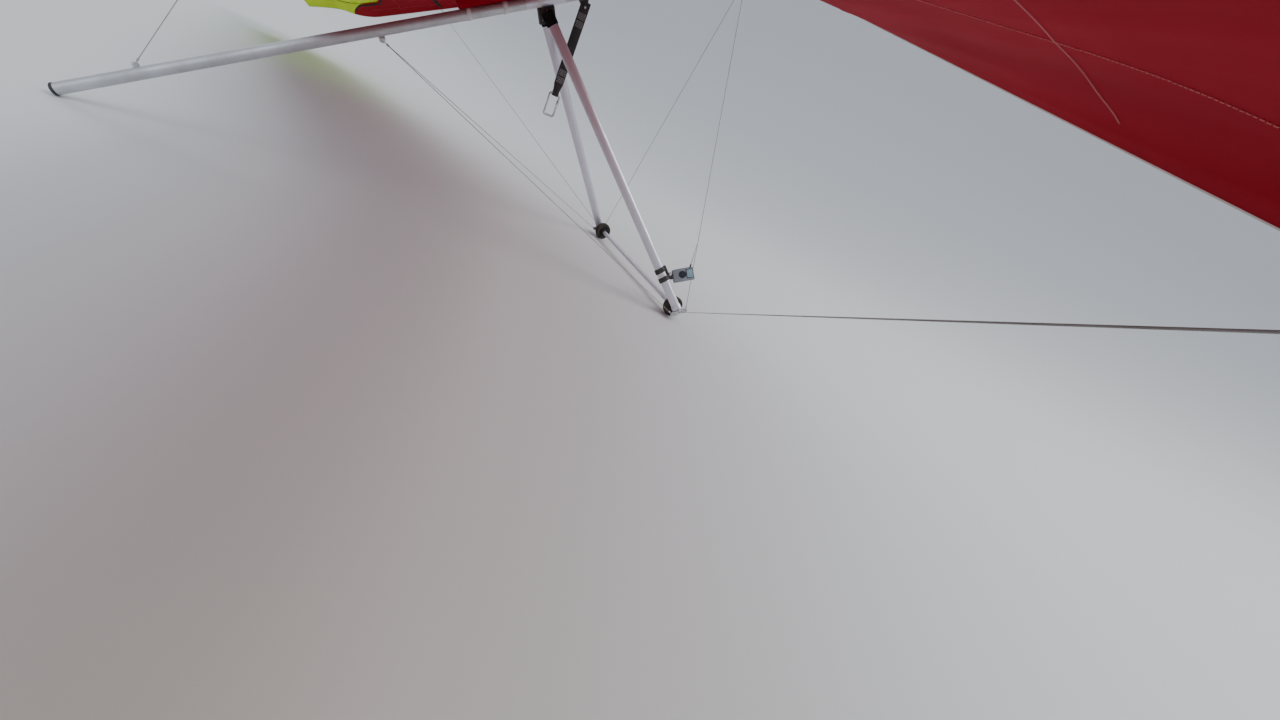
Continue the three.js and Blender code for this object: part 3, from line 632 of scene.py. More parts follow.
# %% [markdown]
# ## Making meshes
# Most pieces are one of four things: a grid of points (cloth), a section carried along
# a path (tube), a profile turned about an axis (wheel), or a CAD node with its edges
# rounded. Each has a helper. All of them write the piece's place into its mesh and give
# it a map called cloth, in metres, that the finishes read.


# %% Helpers that make, finish and place a piece
def link(name, mesh):
    piece = bpy.data.objects.new(name, mesh)
    bpy.context.scene.collection.objects.link(piece)
    return piece


def mesh_piece(name, points, faces, materials, uv=None, sharp=None, which=None):
    """A new piece. uv holds one pair per face corner, which one material per face."""
    mesh = bpy.data.meshes.new(name)
    mesh.from_pydata([tuple(p) for p in points], [], [tuple(f) for f in faces])
    for material in materials:
        mesh.materials.append(material)
    if which is not None:
        mesh.polygons.foreach_set("material_index", which)
    mesh.shade_smooth()
    if sharp is not None:
        mesh.set_sharp_from_angle(angle=math.radians(sharp))
    layer = mesh.uv_layers.new(name="cloth")
    if uv is not None:
        layer.data.foreach_set("uv", np.asarray(uv, np.float32).ravel())
    return link(name, mesh)


def applied(piece):
    """Turns the piece with its modifiers into a plain mesh."""
    graph = bpy.context.evaluated_depsgraph_get()
    mesh = bpy.data.meshes.new_from_object(
        piece.evaluated_get(graph), preserve_all_data_layers=True, depsgraph=graph
    )
    old = piece.data
    piece.modifiers.clear()
    piece.data = mesh
    bpy.data.meshes.remove(old)
    return piece


made_triangles = {}


def settle(piece, slot, *nodes, body="airframe"):
    """Lets a finished piece ride on its body, and says which nodes it stands for."""
    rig.ride(piece, body)
    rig.slot(piece, slot)
    if nodes:
        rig.replaces(piece, *nodes)
    piece.data.calc_loop_triangles()
    made_triangles[piece.name] = len(piece.data.loop_triangles)
    print(f"{piece.name}: {made_triangles[piece.name]} triangles on {body}")
    return piece


def joined(name, pieces):
    """Joins pieces into the first of them."""
    bpy.ops.object.select_all(action="DESELECT")
    for piece in pieces:
        piece.select_set(True)
    bpy.context.view_layer.objects.active = pieces[0]
    bpy.ops.object.join()
    pieces[0].name = name
    return pieces[0]


# %% A grid of points, as cloth
def grid_faces(rows, columns, flip=False, wrap=False):
    """Quads between the points of a grid, and the grid cell of each one's corners."""
    faces, cells = [], []
    for i in range(rows - 1):
        for j in range(columns if wrap else columns - 1):
            cell = [(i, j), (i + 1, j), (i + 1, j + 1), (i, j + 1)]
            if flip:
                cell.reverse()
            faces.append([a * columns + b % columns for a, b in cell])
            cells.append(cell)
    return faces, cells


def cloth_grid(name, points, uv, materials, flip, which=None):
    """A sheet from an array of points (rows, columns, 3) in the keel frame."""
    faces, cells = grid_faces(*points.shape[:2], flip)
    corner_uv = [uv[a, b] for cell in cells for a, b in cell]
    return mesh_piece(name, park(points).reshape(-1, 3), faces, materials, corner_uv, which=which)


def run_lengths(points):
    """How far each point lies from the first, along the line through them."""
    return np.r_[0, np.cumsum(np.linalg.norm(np.diff(points, axis=0), axis=1))]


# %% A section carried along a path
def frame_along(path, chord):
    """Two directions square to a path, and to each other, at each of its points."""
    tangents = np.gradient(path, axis=0)
    tangents /= np.linalg.norm(tangents, axis=1, keepdims=True)
    first = np.asarray(chord, float)
    firsts = []
    for t in tangents:
        first = first - t * np.dot(first, t)
        first = first / np.linalg.norm(first)
        firsts.append(first)
    firsts = np.array(firsts)
    return firsts, np.cross(tangents, firsts)


def swept(name, path, section, chord, material, scales=None, closed=False, sharp=40, place=park):
    """Carries a closed section of (a, b) pairs, or one for each point, along a path.

    The first number of a pair lies along the chord direction. A closed path has no ends.
    """
    path = np.asarray(path, float)
    sections = np.asarray(section, float)
    if sections.ndim == 2:
        sections = np.repeat(sections[None], len(path), axis=0)
    section = sections[0]
    first, second = frame_along(path, chord)
    scales = np.ones(len(path)) if scales is None else np.asarray(scales, float)
    rings = [
        path[i] + scales[i] * (sections[i][:, :1] * first[i] + sections[i][:, 1:] * second[i])
        for i in range(len(path))
    ]
    around = run_lengths(np.r_[section, section[:1]])
    along = run_lengths(path)
    if closed:
        rings.append(rings[0])
        along = np.r_[along, along[-1] + np.linalg.norm(path[0] - path[-1])]
    faces, cells = grid_faces(len(rings), len(section), flip=True, wrap=True)
    uv = [(around[b], along[a]) for cell in cells for a, b in cell]
    points = np.concatenate(rings[:-1] if closed else rings)
    if closed:
        faces = [[v % len(points) for v in f] for f in faces]
    else:
        ends = list(range(len(section)))
        faces += [ends, [len(points) - 1 - k for k in ends]]
        uv += [*map(tuple, section), *map(tuple, section[::-1])]
    return outward(mesh_piece(name, place(points), faces, [material], uv, sharp))


def outward(piece):
    """Makes the faces of a closed piece point out."""
    edit = bmesh.new()
    edit.from_mesh(piece.data)
    bmesh.ops.recalc_face_normals(edit, faces=edit.faces)
    edit.to_mesh(piece.data)
    edit.free()
    return piece


def circle(radius, sides, flat=1.0):
    return [(radius * math.cos(a), radius * flat * math.sin(a)) for a in full_turn(sides)]


def straight(start, end, steps=2):
    a, b = np.asarray(start, float), np.asarray(end, float)
    return [a + (b - a) * t for t in np.linspace(0, 1, steps)]


# %% A profile turned about an axis
def turned(name, profile, centre, axis, material, segments=48, sharp=35, place=park):
    """Turns (radius, along) pairs, whose ends lie on the axis or meet, about an axis."""
    axis = Vector(axis).normalized()
    side = axis.orthogonal().normalized()
    other = axis.cross(side)
    loop = profile[0] == profile[-1]
    rows = profile[:-1] if loop else profile
    points, starts = [], []
    for radius, along in rows:
        starts.append(len(points))
        for a in full_turn(segments if radius > 0 else 1):
            offset = side * (radius * math.cos(a)) + other * (radius * math.sin(a)) + axis * along
            points.append(Vector(centre) + offset)

    def corner(row, k):
        return starts[row] + (k % segments if rows[row][0] > 0 else 0)

    faces = []
    for i in range(len(rows) if loop else len(rows) - 1):
        j = (i + 1) % len(rows)
        for k in range(segments):
            corners = [corner(i, k), corner(j, k), corner(j, k + 1), corner(i, k + 1)]
            face = list(dict.fromkeys(corners))
            if len(face) > 2:
                faces.append(face)
    return outward(mesh_piece(name, place(points), faces, [material], sharp=sharp))


def eased(profile, radius, steps=3):
    """Rounds the corners of an open profile of (radius, along) pairs."""
    out = [profile[0]]
    for before, here, after in zip(profile, profile[1:], profile[2:]):
        p, a, b = (np.array(v, float) for v in (here, before, after))
        cut = min(radius, np.linalg.norm(a - p) / 2.2, np.linalg.norm(b - p) / 2.2)
        start = p + (a - p) / np.linalg.norm(a - p) * cut
        end = p + (b - p) / np.linalg.norm(b - p) * cut
        for t in np.linspace(0, 1, steps + 1):
            out.append(tuple(start * (1 - t) ** 2 + p * 2 * t * (1 - t) + end * t ** 2))
    return out + [profile[-1]]


# %% Solids with rounded edges
MERGE_DISTANCE, FLAT_ANGLE, BEVEL_ANGLE, SHARP_ANGLE = 1e-5, 1.0, 32, 40


def rounded_copy(name, node_name, bevel, material):
    """Copies a CAD node's mesh, merges its loose triangles and rounds the edges."""
    edit = bmesh.new()
    edit.from_mesh(frame["nodes"][node_name].data)
    bmesh.ops.remove_doubles(edit, verts=edit.verts, dist=MERGE_DISTANCE)
    limit = math.radians(FLAT_ANGLE)
    bmesh.ops.dissolve_limit(edit, angle_limit=limit, verts=edit.verts, edges=edit.edges)
    mesh = bpy.data.meshes.new(name)
    edit.to_mesh(mesh)
    edit.free()
    mesh.materials.append(material)
    mesh.polygons.foreach_set("material_index", [0] * len(mesh.polygons))
    while mesh.uv_layers:
        mesh.uv_layers.remove(mesh.uv_layers[0])
    mesh.uv_layers.new(name="cloth")
    piece = link(name, mesh)
    soften = piece.modifiers.new("edges", "BEVEL")
    soften.width, soften.segments = bevel, 3
    soften.limit_method, soften.angle_limit = "ANGLE", math.radians(BEVEL_ANGLE)
    applied(piece)
    piece.data.shade_smooth()
    piece.data.set_sharp_from_angle(angle=math.radians(SHARP_ANGLE))
    return piece


def bevelled(name, edit, bevel, segments, material, sharp, axes=None, centre=(0, 0, 0)):
    """Rounds the edges of an edited mesh and makes a piece of it in the keel frame."""
    bmesh.ops.bevel(
        edit, geom=edit.edges, offset=bevel, segments=segments, profile=0.5, affect="EDGES"
    )
    points = np.array([v.co for v in edit.verts], float)
    if axes is not None:
        points = points @ np.array([list(a) for a in axes], float)
    faces = [[v.index for v in f.verts] for f in edit.faces]
    edit.free()
    return outward(mesh_piece(name, park(points + centre), faces, [material], sharp=sharp))


def rounded_box(name, size, centre, axes, bevel, material, segments=3):
    """A box with rounded edges in the keel frame. axes are its three directions."""
    edit = bmesh.new()
    bmesh.ops.create_cube(edit, size=1.0)
    bmesh.ops.scale(edit, vec=size, verts=edit.verts)
    return bevelled(name, edit, bevel, segments, material, SHARP_ANGLE, axes, centre)


def plate(name, outline, thin, centre, thickness, bevel, material):
    """A flat plate from an outline of (a, b) pairs. thin is the axis across it, 0 to 2."""
    edit = bmesh.new()
    corners = []
    for pair in outline:
        point = np.insert(np.array(pair, float), thin, -thickness / 2) + centre
        corners.append(edit.verts.new(point))
    grown = bmesh.ops.extrude_face_region(edit, geom=[edit.faces.new(corners)])
    shift = np.insert(np.zeros(2), thin, thickness)
    moved = [v for v in grown["geom"] if isinstance(v, bmesh.types.BMVert)]
    bmesh.ops.translate(edit, vec=shift, verts=moved)
    return bevelled(name, edit, bevel, 2, material, 35)


print("helpers ready")

# %% [markdown]
# ## Sewn and fastened things, by Geometry Nodes
# Tapes, battens and stitches all follow lines on the cloth, and bolts and cable eyes
# sit at points. Python only says where: it makes a mesh of plain edges or points with
# the direction of the surface stored as an attribute. A node tree then does the rest,
# so a pocket's width or a stitch's length is one input, not a loop over vertices.


# %% Helpers for node trees
def geometry_tree(name, *numbers, **others):
    """A geometry node tree whose inputs are the geometry, some numbers and a material."""
    inputs = {"Geometry": "Geometry", **dict.fromkeys(numbers, "Float"), **others}
    tree, given, made = new_group(
        "GeometryNodeTree", name, {**inputs, "Material": "Material"}, {"Geometry": "Geometry"}
    )
    tree.is_modifier = True
    return tree, given, made


def finish_tree(tree, given, made, geometry):
    """Ends a tree: real geometry in the material that the modifier names."""
    real = node(tree, "GeometryNodeRealizeInstances", Geometry=geometry)[0]
    painted = node(tree, "GeometryNodeSetMaterial", Geometry=real, Material=given["Material"])[0]
    feed(tree, made["Geometry"], painted)
    return tree


def stored(tree, name):
    """A direction that is stored on the points."""
    kind = "GeometryNodeInputNamedAttribute"
    return node(tree, kind, data_type="FLOAT_VECTOR", Name=name)["Attribute"]


def run_tree(name, tree, mesh, **values):
    """A piece made by a tree from a helper mesh, with its inputs set by name."""
    piece = link(name, mesh)
    modifier = piece.modifiers.new(tree.name, "NODES")
    modifier.node_group = tree
    for item in tree.interface.items_tree:
        label = item.name.replace(" ", "_")
        if item.in_out == "INPUT" and label in values:
            modifier[item.identifier] = values[label]
    applied(piece)
    piece.data.set_sharp_from_angle(angle=math.radians(SHARP_ANGLE))
    return piece


def directed_mesh(name, points, edges, label, directions):
    """A helper mesh of points and edges, with a direction stored at each point."""
    mesh = bpy.data.meshes.new(name)
    mesh.from_pydata([tuple(p) for p in points], edges, [])
    attribute = mesh.attributes.new(label, "FLOAT_VECTOR", "POINT")
    attribute.data.foreach_set("vector", np.asarray(directions, np.float32).ravel())
    return mesh


def lines_mesh(name, lines):
    """Edges through rows of (points, ups). Both are given in the parked frame."""
    points, edges, ups = [], [], []
    for line, up in lines:
        start = len(points)
        points += list(line)
        ups += list(up)
        edges += [(k, k + 1) for k in range(start, start + len(line) - 1)]
    return directed_mesh(name, points, edges, "up", ups)


# %% A tree for tapes: a flat strip, with a rod inside it where it is a pocket
CIRCLE, TO_MESH = "GeometryNodeCurvePrimitiveCircle", "GeometryNodeCurveToMesh"
QUADRILATERAL = "GeometryNodeCurvePrimitiveQuadrilateral"


def make_tape_tree():
    tree, given, made = geometry_tree("tape", "Width", "Thickness", "Rod radius")
    curve = node(tree, "GeometryNodeMeshToCurve", Mesh=given["Geometry"])[0]
    line = node(
        tree, "GeometryNodeSetCurveNormal", mode="FREE", Curve=curve, Normal=stored(tree, "up")
    )[0]
    flat = node(tree, QUADRILATERAL, Width=given["Thickness"], Height=given["Width"])[0]
    ring = node(tree, CIRCLE, Resolution=10, Radius=given["Rod radius"])[0]
    strip = node(tree, TO_MESH, Curve=line, Profile_Curve=flat, Fill_Caps=True)[0]
    rod = node(tree, TO_MESH, Curve=line, Profile_Curve=ring, Fill_Caps=True)[0]
    both = node(tree, "GeometryNodeJoinGeometry", Geometry=[rod, strip])[0]
    return finish_tree(tree, given, made, both)


# %% A tree for stitches: short threads set along a line
INSTANCES, CYLINDER = "GeometryNodeInstanceOnPoints", "GeometryNodeMeshCylinder"


def make_stitch_tree():
    tree, given, made = geometry_tree("stitches", "Spacing", "Length", "Thread radius")
    curve = node(tree, "GeometryNodeMeshToCurve", Mesh=given["Geometry"])[0]
    places = node(
        tree, "GeometryNodeCurveToPoints", mode="LENGTH", Curve=curve, Length=given["Spacing"]
    )
    thread = node(tree, CYLINDER, Vertices=5, Radius=given["Thread radius"], Depth=given["Length"])
    placed = node(
        tree, INSTANCES, Points=places["Points"], Instance=thread["Mesh"],
        Rotation=places["Rotation"],
    )[0]
    return finish_tree(tree, given, made, placed)


# %% Trees for fasteners: a hexagon on a washer, and a cable eye
def aim_rotation(tree, direction, **settings):
    return node(tree, "FunctionNodeAlignRotationToVector", **settings, Vector=direction)[0]


def make_bolt_tree():
    """A cap, a hexagon and a washer. Their radii and depths are in units of the size."""
    tree, given, made = geometry_tree("bolts", "Size")
    parts = [
        node(tree, CYLINDER, Vertices=corners, Radius=radius, Depth=depth)["Mesh"]
        for corners, radius, depth in ((16, 0.5, 2.2), (6, 0.95, 1.6), (20, 1.25, 0.5))
    ]
    whole = node(tree, "GeometryNodeJoinGeometry", Geometry=parts)[0]
    placed = node(
        tree, INSTANCES, Points=given["Geometry"], Instance=whole,
        Rotation=aim_rotation(tree, stored(tree, "aim")), Scale=given["Size"],
    )[0]
    return finish_tree(tree, given, made, placed)


def make_eye_tree():
    tree, given, made = geometry_tree("cable eyes", "Eye radius", "Strand radius")
    ring = node(tree, CIRCLE, Resolution=28, Radius=given["Eye radius"])[0]
    strand = node(tree, CIRCLE, Resolution=10, Radius=given["Strand radius"])[0]
    eye = node(tree, TO_MESH, Curve=ring, Profile_Curve=strand)[0]
    placed = node(
        tree, INSTANCES, Points=given["Geometry"], Instance=eye,
        Rotation=aim_rotation(tree, stored(tree, "aim")),
    )[0]
    return finish_tree(tree, given, made, placed)


tape_tree = make_tape_tree()
stitch_tree = make_stitch_tree()
bolt_tree = make_bolt_tree()
eye_tree = make_eye_tree()
NO_ROD = 1e-5


def tapes(name, lines, material, width, thickness, rod=NO_ROD):
    return run_tree(
        name, tape_tree, lines_mesh(name, lines),
        Width=width, Thickness=thickness, Rod_radius=rod, Material=material,
    )


def stitches(name, lines, material, spacing, length, radius):
    return run_tree(
        name, stitch_tree, lines_mesh(name, lines),
        Spacing=spacing, Length=length, Thread_radius=radius, Material=material,
    )


def aimed_points(name, points, aims):
    """Points in the keel frame with a direction each, for the trees of fasteners."""
    return directed_mesh(name, park(points), [], "aim", [turn(a) for a in aims])


print("node trees:", [t.name for t in (tape_tree, stitch_tree, bolt_tree, eye_tree)])

# %% [markdown]
# ## The sail's shape
# The wing is described by a few formulas, the same as in the CAD: where the leading
# edge runs, how deep the lower cloth reaches before its hem is sewn to the upper cloth,
# and an arch over the chord. Between the battens the real cloth puffs up a little and
# its trailing edge is cut back in shallow scallops, so those two terms are added here.

# %% Formulas of the sail, in metres in the keel frame
NOSE_X, NOSE_BOTTOM_Z, SWEEP, DIHEDRAL = 1.243, -0.038, 0.51, -0.009
LEADING_RADIUS, ROOT_Y, SURFACE_END_Y, TIP_Y = 0.030, 0.031, 4.120, 5.030
TIP_CURVE_START_Y, TIP_CURVE, TIP_RISE_START_Y, TIP_RISE = 4.700, 2.3, 3.950, 0.163
TRAILING_X, TRAILING_SWEEP, TRAILING_ROOT_Z, TRAILING_TWIST_Z = -1.100, 0.196, 0.170, 0.160
CAMBER, POCKET_DEPTH, JUNCTION_Y = 0.092, 0.090, 2.880
HEM_SLOPE, HEM_CURVE, TIP_HEM_SHARE, TIP_HEM_SLOPE, HEM_GAP = 0.299, 0.024, 0.36, 0.34, 0.008
ROOT_FLATNESS, OUTER_FLATNESS, HEM_DRAWN = 1.5, 0.6, 0.004
ARCH_PEAK = 2 / (3 * math.sqrt(3))
BATTEN_FIRST_Y, BATTEN_SPACING, BATTEN_COUNT = 0.44, 0.42, 11
BILLOW, SCALLOP, BILLOW_FROM_Y, BILLOW_TO_Y, BILLOW_FADE = 0.008, 0.022, 0.1, TIP_Y - 0.12, 0.3
ROLL_BACK, ROLL_HALF, ROLL_DEPTH = 0.066, 0.021, 0.005
ROLL_FROM_Y, ROLL_TO_Y, ROLL_FADE = 1.40, 3.00, 0.60
CLOTH = 0.0014


def ramp(value, start, length):
    """Nought up to the start, one from the start and the length on."""
    return np.clip((value - start) / length, 0, 1)


def stacked(*parts):
    """Points or pairs from coordinates that are numbers or arrays."""
    return np.stack(np.broadcast_arrays(*parts), axis=-1)


def past(y, start):
    return np.maximum(0, y - start)


def lead_x(y):
    return NOSE_X - SWEEP * y - TIP_CURVE * past(y, TIP_CURVE_START_Y) ** 2


def tip_rise(y):
    return TIP_RISE * past(y, TIP_RISE_START_Y) ** 2


def chord_at(y):
    return lead_x(y) - (TRAILING_X - TRAILING_SWEEP * y)


def edge_radius(y):
    return np.minimum(LEADING_RADIUS, 0.1 * chord_at(y))


def lead_z(y):
    return NOSE_BOTTOM_Z + LEADING_RADIUS + DIHEDRAL * y + tip_rise(y)


def nose_z(y, back):
    """The underside of the round leading edge, as far back as its radius."""
    return lead_z(y) - np.sqrt(np.maximum(0, 2 * edge_radius(y) * back - back ** 2))


def trail_z(y):
    twist = np.sin(np.minimum(1, y / SURFACE_END_Y) * math.pi / 2)
    return TRAILING_ROOT_Z + TRAILING_TWIST_Z * twist + tip_rise(y) / 2


def hem_depth(y):
    inward = past(-y, -SURFACE_END_Y)
    hem = HEM_SLOPE * inward + HEM_CURVE * inward ** 2
    return np.minimum(
        np.maximum(POCKET_DEPTH, hem), TIP_HEM_SHARE * chord_at(y) + TIP_HEM_SLOPE * inward
    )


def between_battens(y):
    """Nought at a batten and one midway to the next, fading at the root and the tip."""
    turns = (y - BATTEN_FIRST_Y) / BATTEN_SPACING
    fade = ramp(y, BILLOW_FROM_Y, BILLOW_FADE) * ramp(-y, -BILLOW_TO_Y, BILLOW_FADE)
    return np.sin(math.pi * turns) ** 2 * fade


def upper_z(y, back):
    part = np.clip(back / chord_at(y), 0, 1)
    flattening = np.minimum(1, chord_at(y) / chord_at(SURFACE_END_Y))
    arch = CAMBER * chord_at(y) * flattening * np.sqrt(part) * (1 - part) / ARCH_PEAK
    puff = BILLOW * between_battens(y) * np.sin(math.pi * part) ** 1.2
    return lead_z(y) + (trail_z(y) - lead_z(y)) * part + arch + puff


def roll_z(y, back):
    """A soft roll that hangs where the lower cloth leaves the leading edge's tube."""
    fade = ramp(y, ROLL_FROM_Y, ROLL_FADE) * ramp(-y, -ROLL_TO_Y, ROLL_FADE)
    return ROLL_DEPTH * fade * np.exp(-((back - ROLL_BACK) / ROLL_HALF) ** 2)


def lower_z(y, back):
    """The lower cloth from the leading edge's lowest line back to its hem."""
    radius, hem = edge_radius(y), hem_depth(y)
    flatness = ROOT_FLATNESS + (OUTER_FLATNESS - ROOT_FLATNESS) * np.minimum(1, y / JUNCTION_Y)
    bottom = lead_z(y) - radius
    rise = upper_z(y, hem) - HEM_GAP - bottom
    share = ramp(back, radius, hem - radius)
    drawn = HEM_DRAWN * ramp(share, 0.8, 0.2) ** 2
    return bottom + rise * share ** flatness + drawn - roll_z(y, back) * (share > 0)


def trail_back(y):
    """The chord as far as the scalloped trailing edge."""
    return chord_at(y) - SCALLOP * between_battens(y)


def upper_point(y, back, side, lift=0.0):
    return stacked(lead_x(y) - back, side * y, upper_z(y, back) + lift)


def lower_point(y, back, side, drop=0.0):
    return stacked(lead_x(y) - back, side * y, lower_z(y, back) - drop)


batten_ys = [BATTEN_FIRST_Y + BATTEN_SPACING * k for k in range(BATTEN_COUNT)]
print("root chord", round(chord_at(ROOT_Y), 3), "tip chord", round(chord_at(TIP_Y), 3))

# %% [markdown]
# ## The upper cloth
# On the real wing one cloth wraps the leading edge from its lowest line, over the top
# and back to the trailing edge. So the grid's columns start under the leading edge. The
# panels are faces with their own material: a white panel round the leading edge, a red
# body, and the lime outer panel, with a thin black seam between the two colours. Each
# border follows a line of the grid, which keeps it crisp without any image.

# %% The upper cloth
LIME_START_Y = 3.10
WHITE_DEPTH, WHITE_HEM_SHARE = 0.17, 0.97
DIVIDER_HALF = 0.011
UNDER_STEPS, NOSE_STEPS, WHITE_STEPS, BODY_STEPS = 7, 7, 8, 52
SPAN_STEPS = [92, 1, 30, 34]
RED, LIME, WHITE, BLACK = range(len(SAIL_CLOTHS))


def white_edge(y):
    """The depth of the white panel, which stays in front of the lower cloth's hem."""
    return min(WHITE_DEPTH, WHITE_HEM_SHARE * hem_depth(y))


def spread(stops, counts):
    """Evenly spaced values between stops, with a count for each stretch."""
    parts = [np.linspace(a, b, n, endpoint=False) for a, b, n in zip(stops, stops[1:], counts)]
    return np.concatenate([*parts, [stops[-1]]])


def stations():
    divider = (LIME_START_Y - DIVIDER_HALF, LIME_START_Y + DIVIDER_HALF)
    return spread([ROOT_Y, *divider, SURFACE_END_Y, TIP_Y], SPAN_STEPS)


def upper_grid(side):
    rows, maps = [], []
    for y in stations():
        radius = edge_radius(y)
        under = radius * np.linspace(1, 0, UNDER_STEPS, endpoint=False) ** 2
        nose = radius * np.linspace(0, 1, NOSE_STEPS, endpoint=False) ** 2
        over = spread([radius, white_edge(y), trail_back(y)], [WHITE_STEPS, BODY_STEPS])
        low = stacked(lead_x(y) - under, side * y, nose_z(y, under))
        rows.append(np.concatenate([low, upper_point(y, np.r_[nose, over], side)]))
        maps.append(stacked(run_lengths(rows[-1]), y))
    return np.array(rows), np.array(maps)


def upper_panels():
    """The material of each face: white in front, then red or lime, black between them."""
    ys, which = stations(), []
    for middle in (ys[:-1] + ys[1:]) / 2:
        body = RED if middle < LIME_START_Y else LIME
        if abs(middle - LIME_START_Y) < DIVIDER_HALF:
            body = BLACK
        which += [WHITE] * (UNDER_STEPS + NOSE_STEPS + WHITE_STEPS) + [body] * BODY_STEPS
    return which


def thicken(piece, thickness):
    wall = piece.modifiers.new("wall", "SOLIDIFY")
    wall.thickness, wall.offset, wall.use_even_offset = thickness, -1, False
    return applied(piece)


def sheet_piece(name, grid, materials, flip, thickness, slot, *nodes, which=None):
    """A sheet from its points and its map, as a thin closed wall."""
    piece = cloth_grid(name, *grid, materials, flip, which)
    return settle(thicken(piece, thickness), slot, *nodes)


for label, side in SIDES:
    sheet_piece(
        f"sail_upper_cloth_{label}", upper_grid(side), SAIL_CLOTHS, side < 0, CLOTH,
        "red_sailcloth", f"sail_{label}", f"sail_tip_{label}", which=upper_panels(),
    )

# %% [markdown]
# ## The lower cloth
# The lower cloth closes the front of the wing like the skin under an aerofoil. In the
# photo it is deep red, with a pale sewn edge along the leading edge. It starts where
# the upper cloth starts, and its hem meets the upper cloth from below. At the root it
# turns up beside the keel, which closes the end of the wing.

# %% The lower cloth
HEM_OVERLAP = 0.012
RED_END_Y, RED_SLOPE = 4.52, 0.19
FRONT_STEPS, HEM_STEPS, FRONT_CROWDING = 40, 4, 1.15
ROOT_RISE_STEPS, ROOT_LEAN = 8, 0.0005


def colour_border(y):
    """How far back the red reaches. Past the double surface it runs out to the edge."""
    radius, depth = edge_radius(y), hem_depth(y) + HEM_OVERLAP - edge_radius(y)
    return radius + depth * np.clip(RED_SLOPE * (RED_END_Y - y) / depth, 0.02, 0.98)


def lower_grid(side):
    """The cloth's grid, whose first rows rise to the upper cloth beside the keel."""
    front = np.linspace(0, 1, FRONT_STEPS, endpoint=False) ** FRONT_CROWDING
    rows, maps = [], []
    for y in stations():
        radius, border = edge_radius(y), colour_border(y)
        rear = np.linspace(border, hem_depth(y) + HEM_OVERLAP, HEM_STEPS + 1)
        backs = np.concatenate([radius + (border - radius) * front, rear])
        row = lower_point(y, backs, side)
        row[:, 2] = np.minimum(row[:, 2], upper_z(y, backs) - 2 * CLOTH)
        rows.append(row)
        maps.append(stacked(backs, y))
    root, backs = rows[0], maps[0][:, 0]
    climb = np.maximum(upper_z(ROOT_Y, backs) - 2 * CLOTH - root[:, 2], 0)
    risen = np.linspace(1, 0, ROOT_RISE_STEPS, endpoint=False)
    wall = [
        stacked(root[:, 0], side * (ROOT_Y + ROOT_LEAN * t), root[:, 2] + climb * t) for t in risen
    ]
    wall_maps = [stacked(backs, ROOT_Y - climb * t) for t in risen]
    return np.array(wall + rows), np.array(wall_maps + maps)


def lower_panels():
    """The material of each face: red as far as the border, lime outside and behind it."""
    ys = stations()
    middles = np.r_[np.zeros(ROOT_RISE_STEPS), (ys[:-1] + ys[1:]) / 2]
    return [
        LIME if middle > last_red else RED
        for middle in middles
        for last_red in [RED_END_Y] * FRONT_STEPS + [SURFACE_END_Y] * HEM_STEPS
    ]


for label, side in SIDES:
    sheet_piece(
        f"sail_lower_cloth_{label}", lower_grid(side), SAIL_CLOTHS, side > 0, CLOTH,
        "red_sailcloth", f"sail_{label}", f"sail_tip_{label}", which=lower_panels(),
    )

# %% [markdown]
# ## Tapes, battens and stitches on the sail
# A batten is a thin rod in a pocket sewn to the cloth. Behind the hem the pockets show
# from below, and on top each shows as a low ridge. The trailing edge is bound with black
# tape. On the lower cloth the photo shows a pale bead along the leading edge, a dashed
# line of stitching well behind it that nears the edge towards the tip, and seams that
# run back across the cloth. A thin black tape along the border of red and lime and the
# last of the hem is painted shadow: the shade under the hem's edge.

# %% Lines on the cloth
LIFT, FLAT_LIFT, HEM_SHADOW_LIFT, UNDER_LIFT = 0.0012, 0.0004, 0.0006, 0.0015
SMALL_STEP = 1e-3
ROWS_START_Y = 0.27
POCKET_WIDTH = 0.034
# tapes by their width, thickness and rod
RIDGE, UNDER_POCKET = (POCKET_WIDTH, 0.0012, 0.0025), (0.040, 0.0012, 0.0042)
BATTEN_TIP, HEM_SHADOW_TAPE = (0.012, 0.004, 0.0056), (0.016, 0.0010, 0.0010)
BEAD, SEAM = (0.0030, 0.0014, 0.0008), (0.0018, 0.0008)
# stitches by their spacing, length and radius
EDGE_STITCH, TOP_STITCH = (0.0046, 0.0030, 0.00055), (0.024, 0.014, 0.0007)
TACK = (0.0032, 0.0024, 0.0006)


def surface_up(point_at, y, back, side):
    """The outward direction of a cloth at a point, by two small steps over it."""
    here = point_at(y, back, side)
    outward_step = point_at(y + SMALL_STEP, back, side) - here
    rear_step = point_at(y, back + SMALL_STEP, side) - here
    up = np.cross(outward_step, rear_step)
    up /= np.linalg.norm(up)
    return up if (up[2] > 0) == (point_at is upper_point) else -up


def cloth_line(point_at, places, side, lift=LIFT):
    """A line through (y, back) places on a cloth, with the outward direction at each."""
    ups = [surface_up(point_at, y, back, side) for y, back in places]
    points = [point_at(y, back, side) + up * lift for (y, back), up in zip(places, ups)]
    return park(points), [turn(up) for up in ups]


def under_point(y, back, side):
    """The underside of the upper cloth."""
    return upper_point(y, back, side, -CLOTH)


def along_batten(y, front, rear, steps=24):
    return [(y, back) for back in np.linspace(front, rear, steps)]


def spanwise(start_y, end_y, back_at, steps=120):
    return [(y, back_at(y)) for y in np.linspace(start_y, end_y, steps)]


sewn = {(layer, label): [] for layer in ("upper", "lower") for label, _ in SIDES}
print("lines ready for", len(batten_ys), "battens a side")

# %% Batten pockets above and below
# gaps behind the front panel or the hem, and before the trailing edge
ABOVE_FRONT_GAP, ABOVE_REAR_GAP, BELOW_FRONT_GAP, BELOW_REAR_GAP = 0.03, 0.012, 0.02, 0.010


def pocket_lines(ys, front_at, front_gap, rear_gap):
    return [along_batten(y, front_at(y) + front_gap, chord_at(y) - rear_gap) for y in ys]


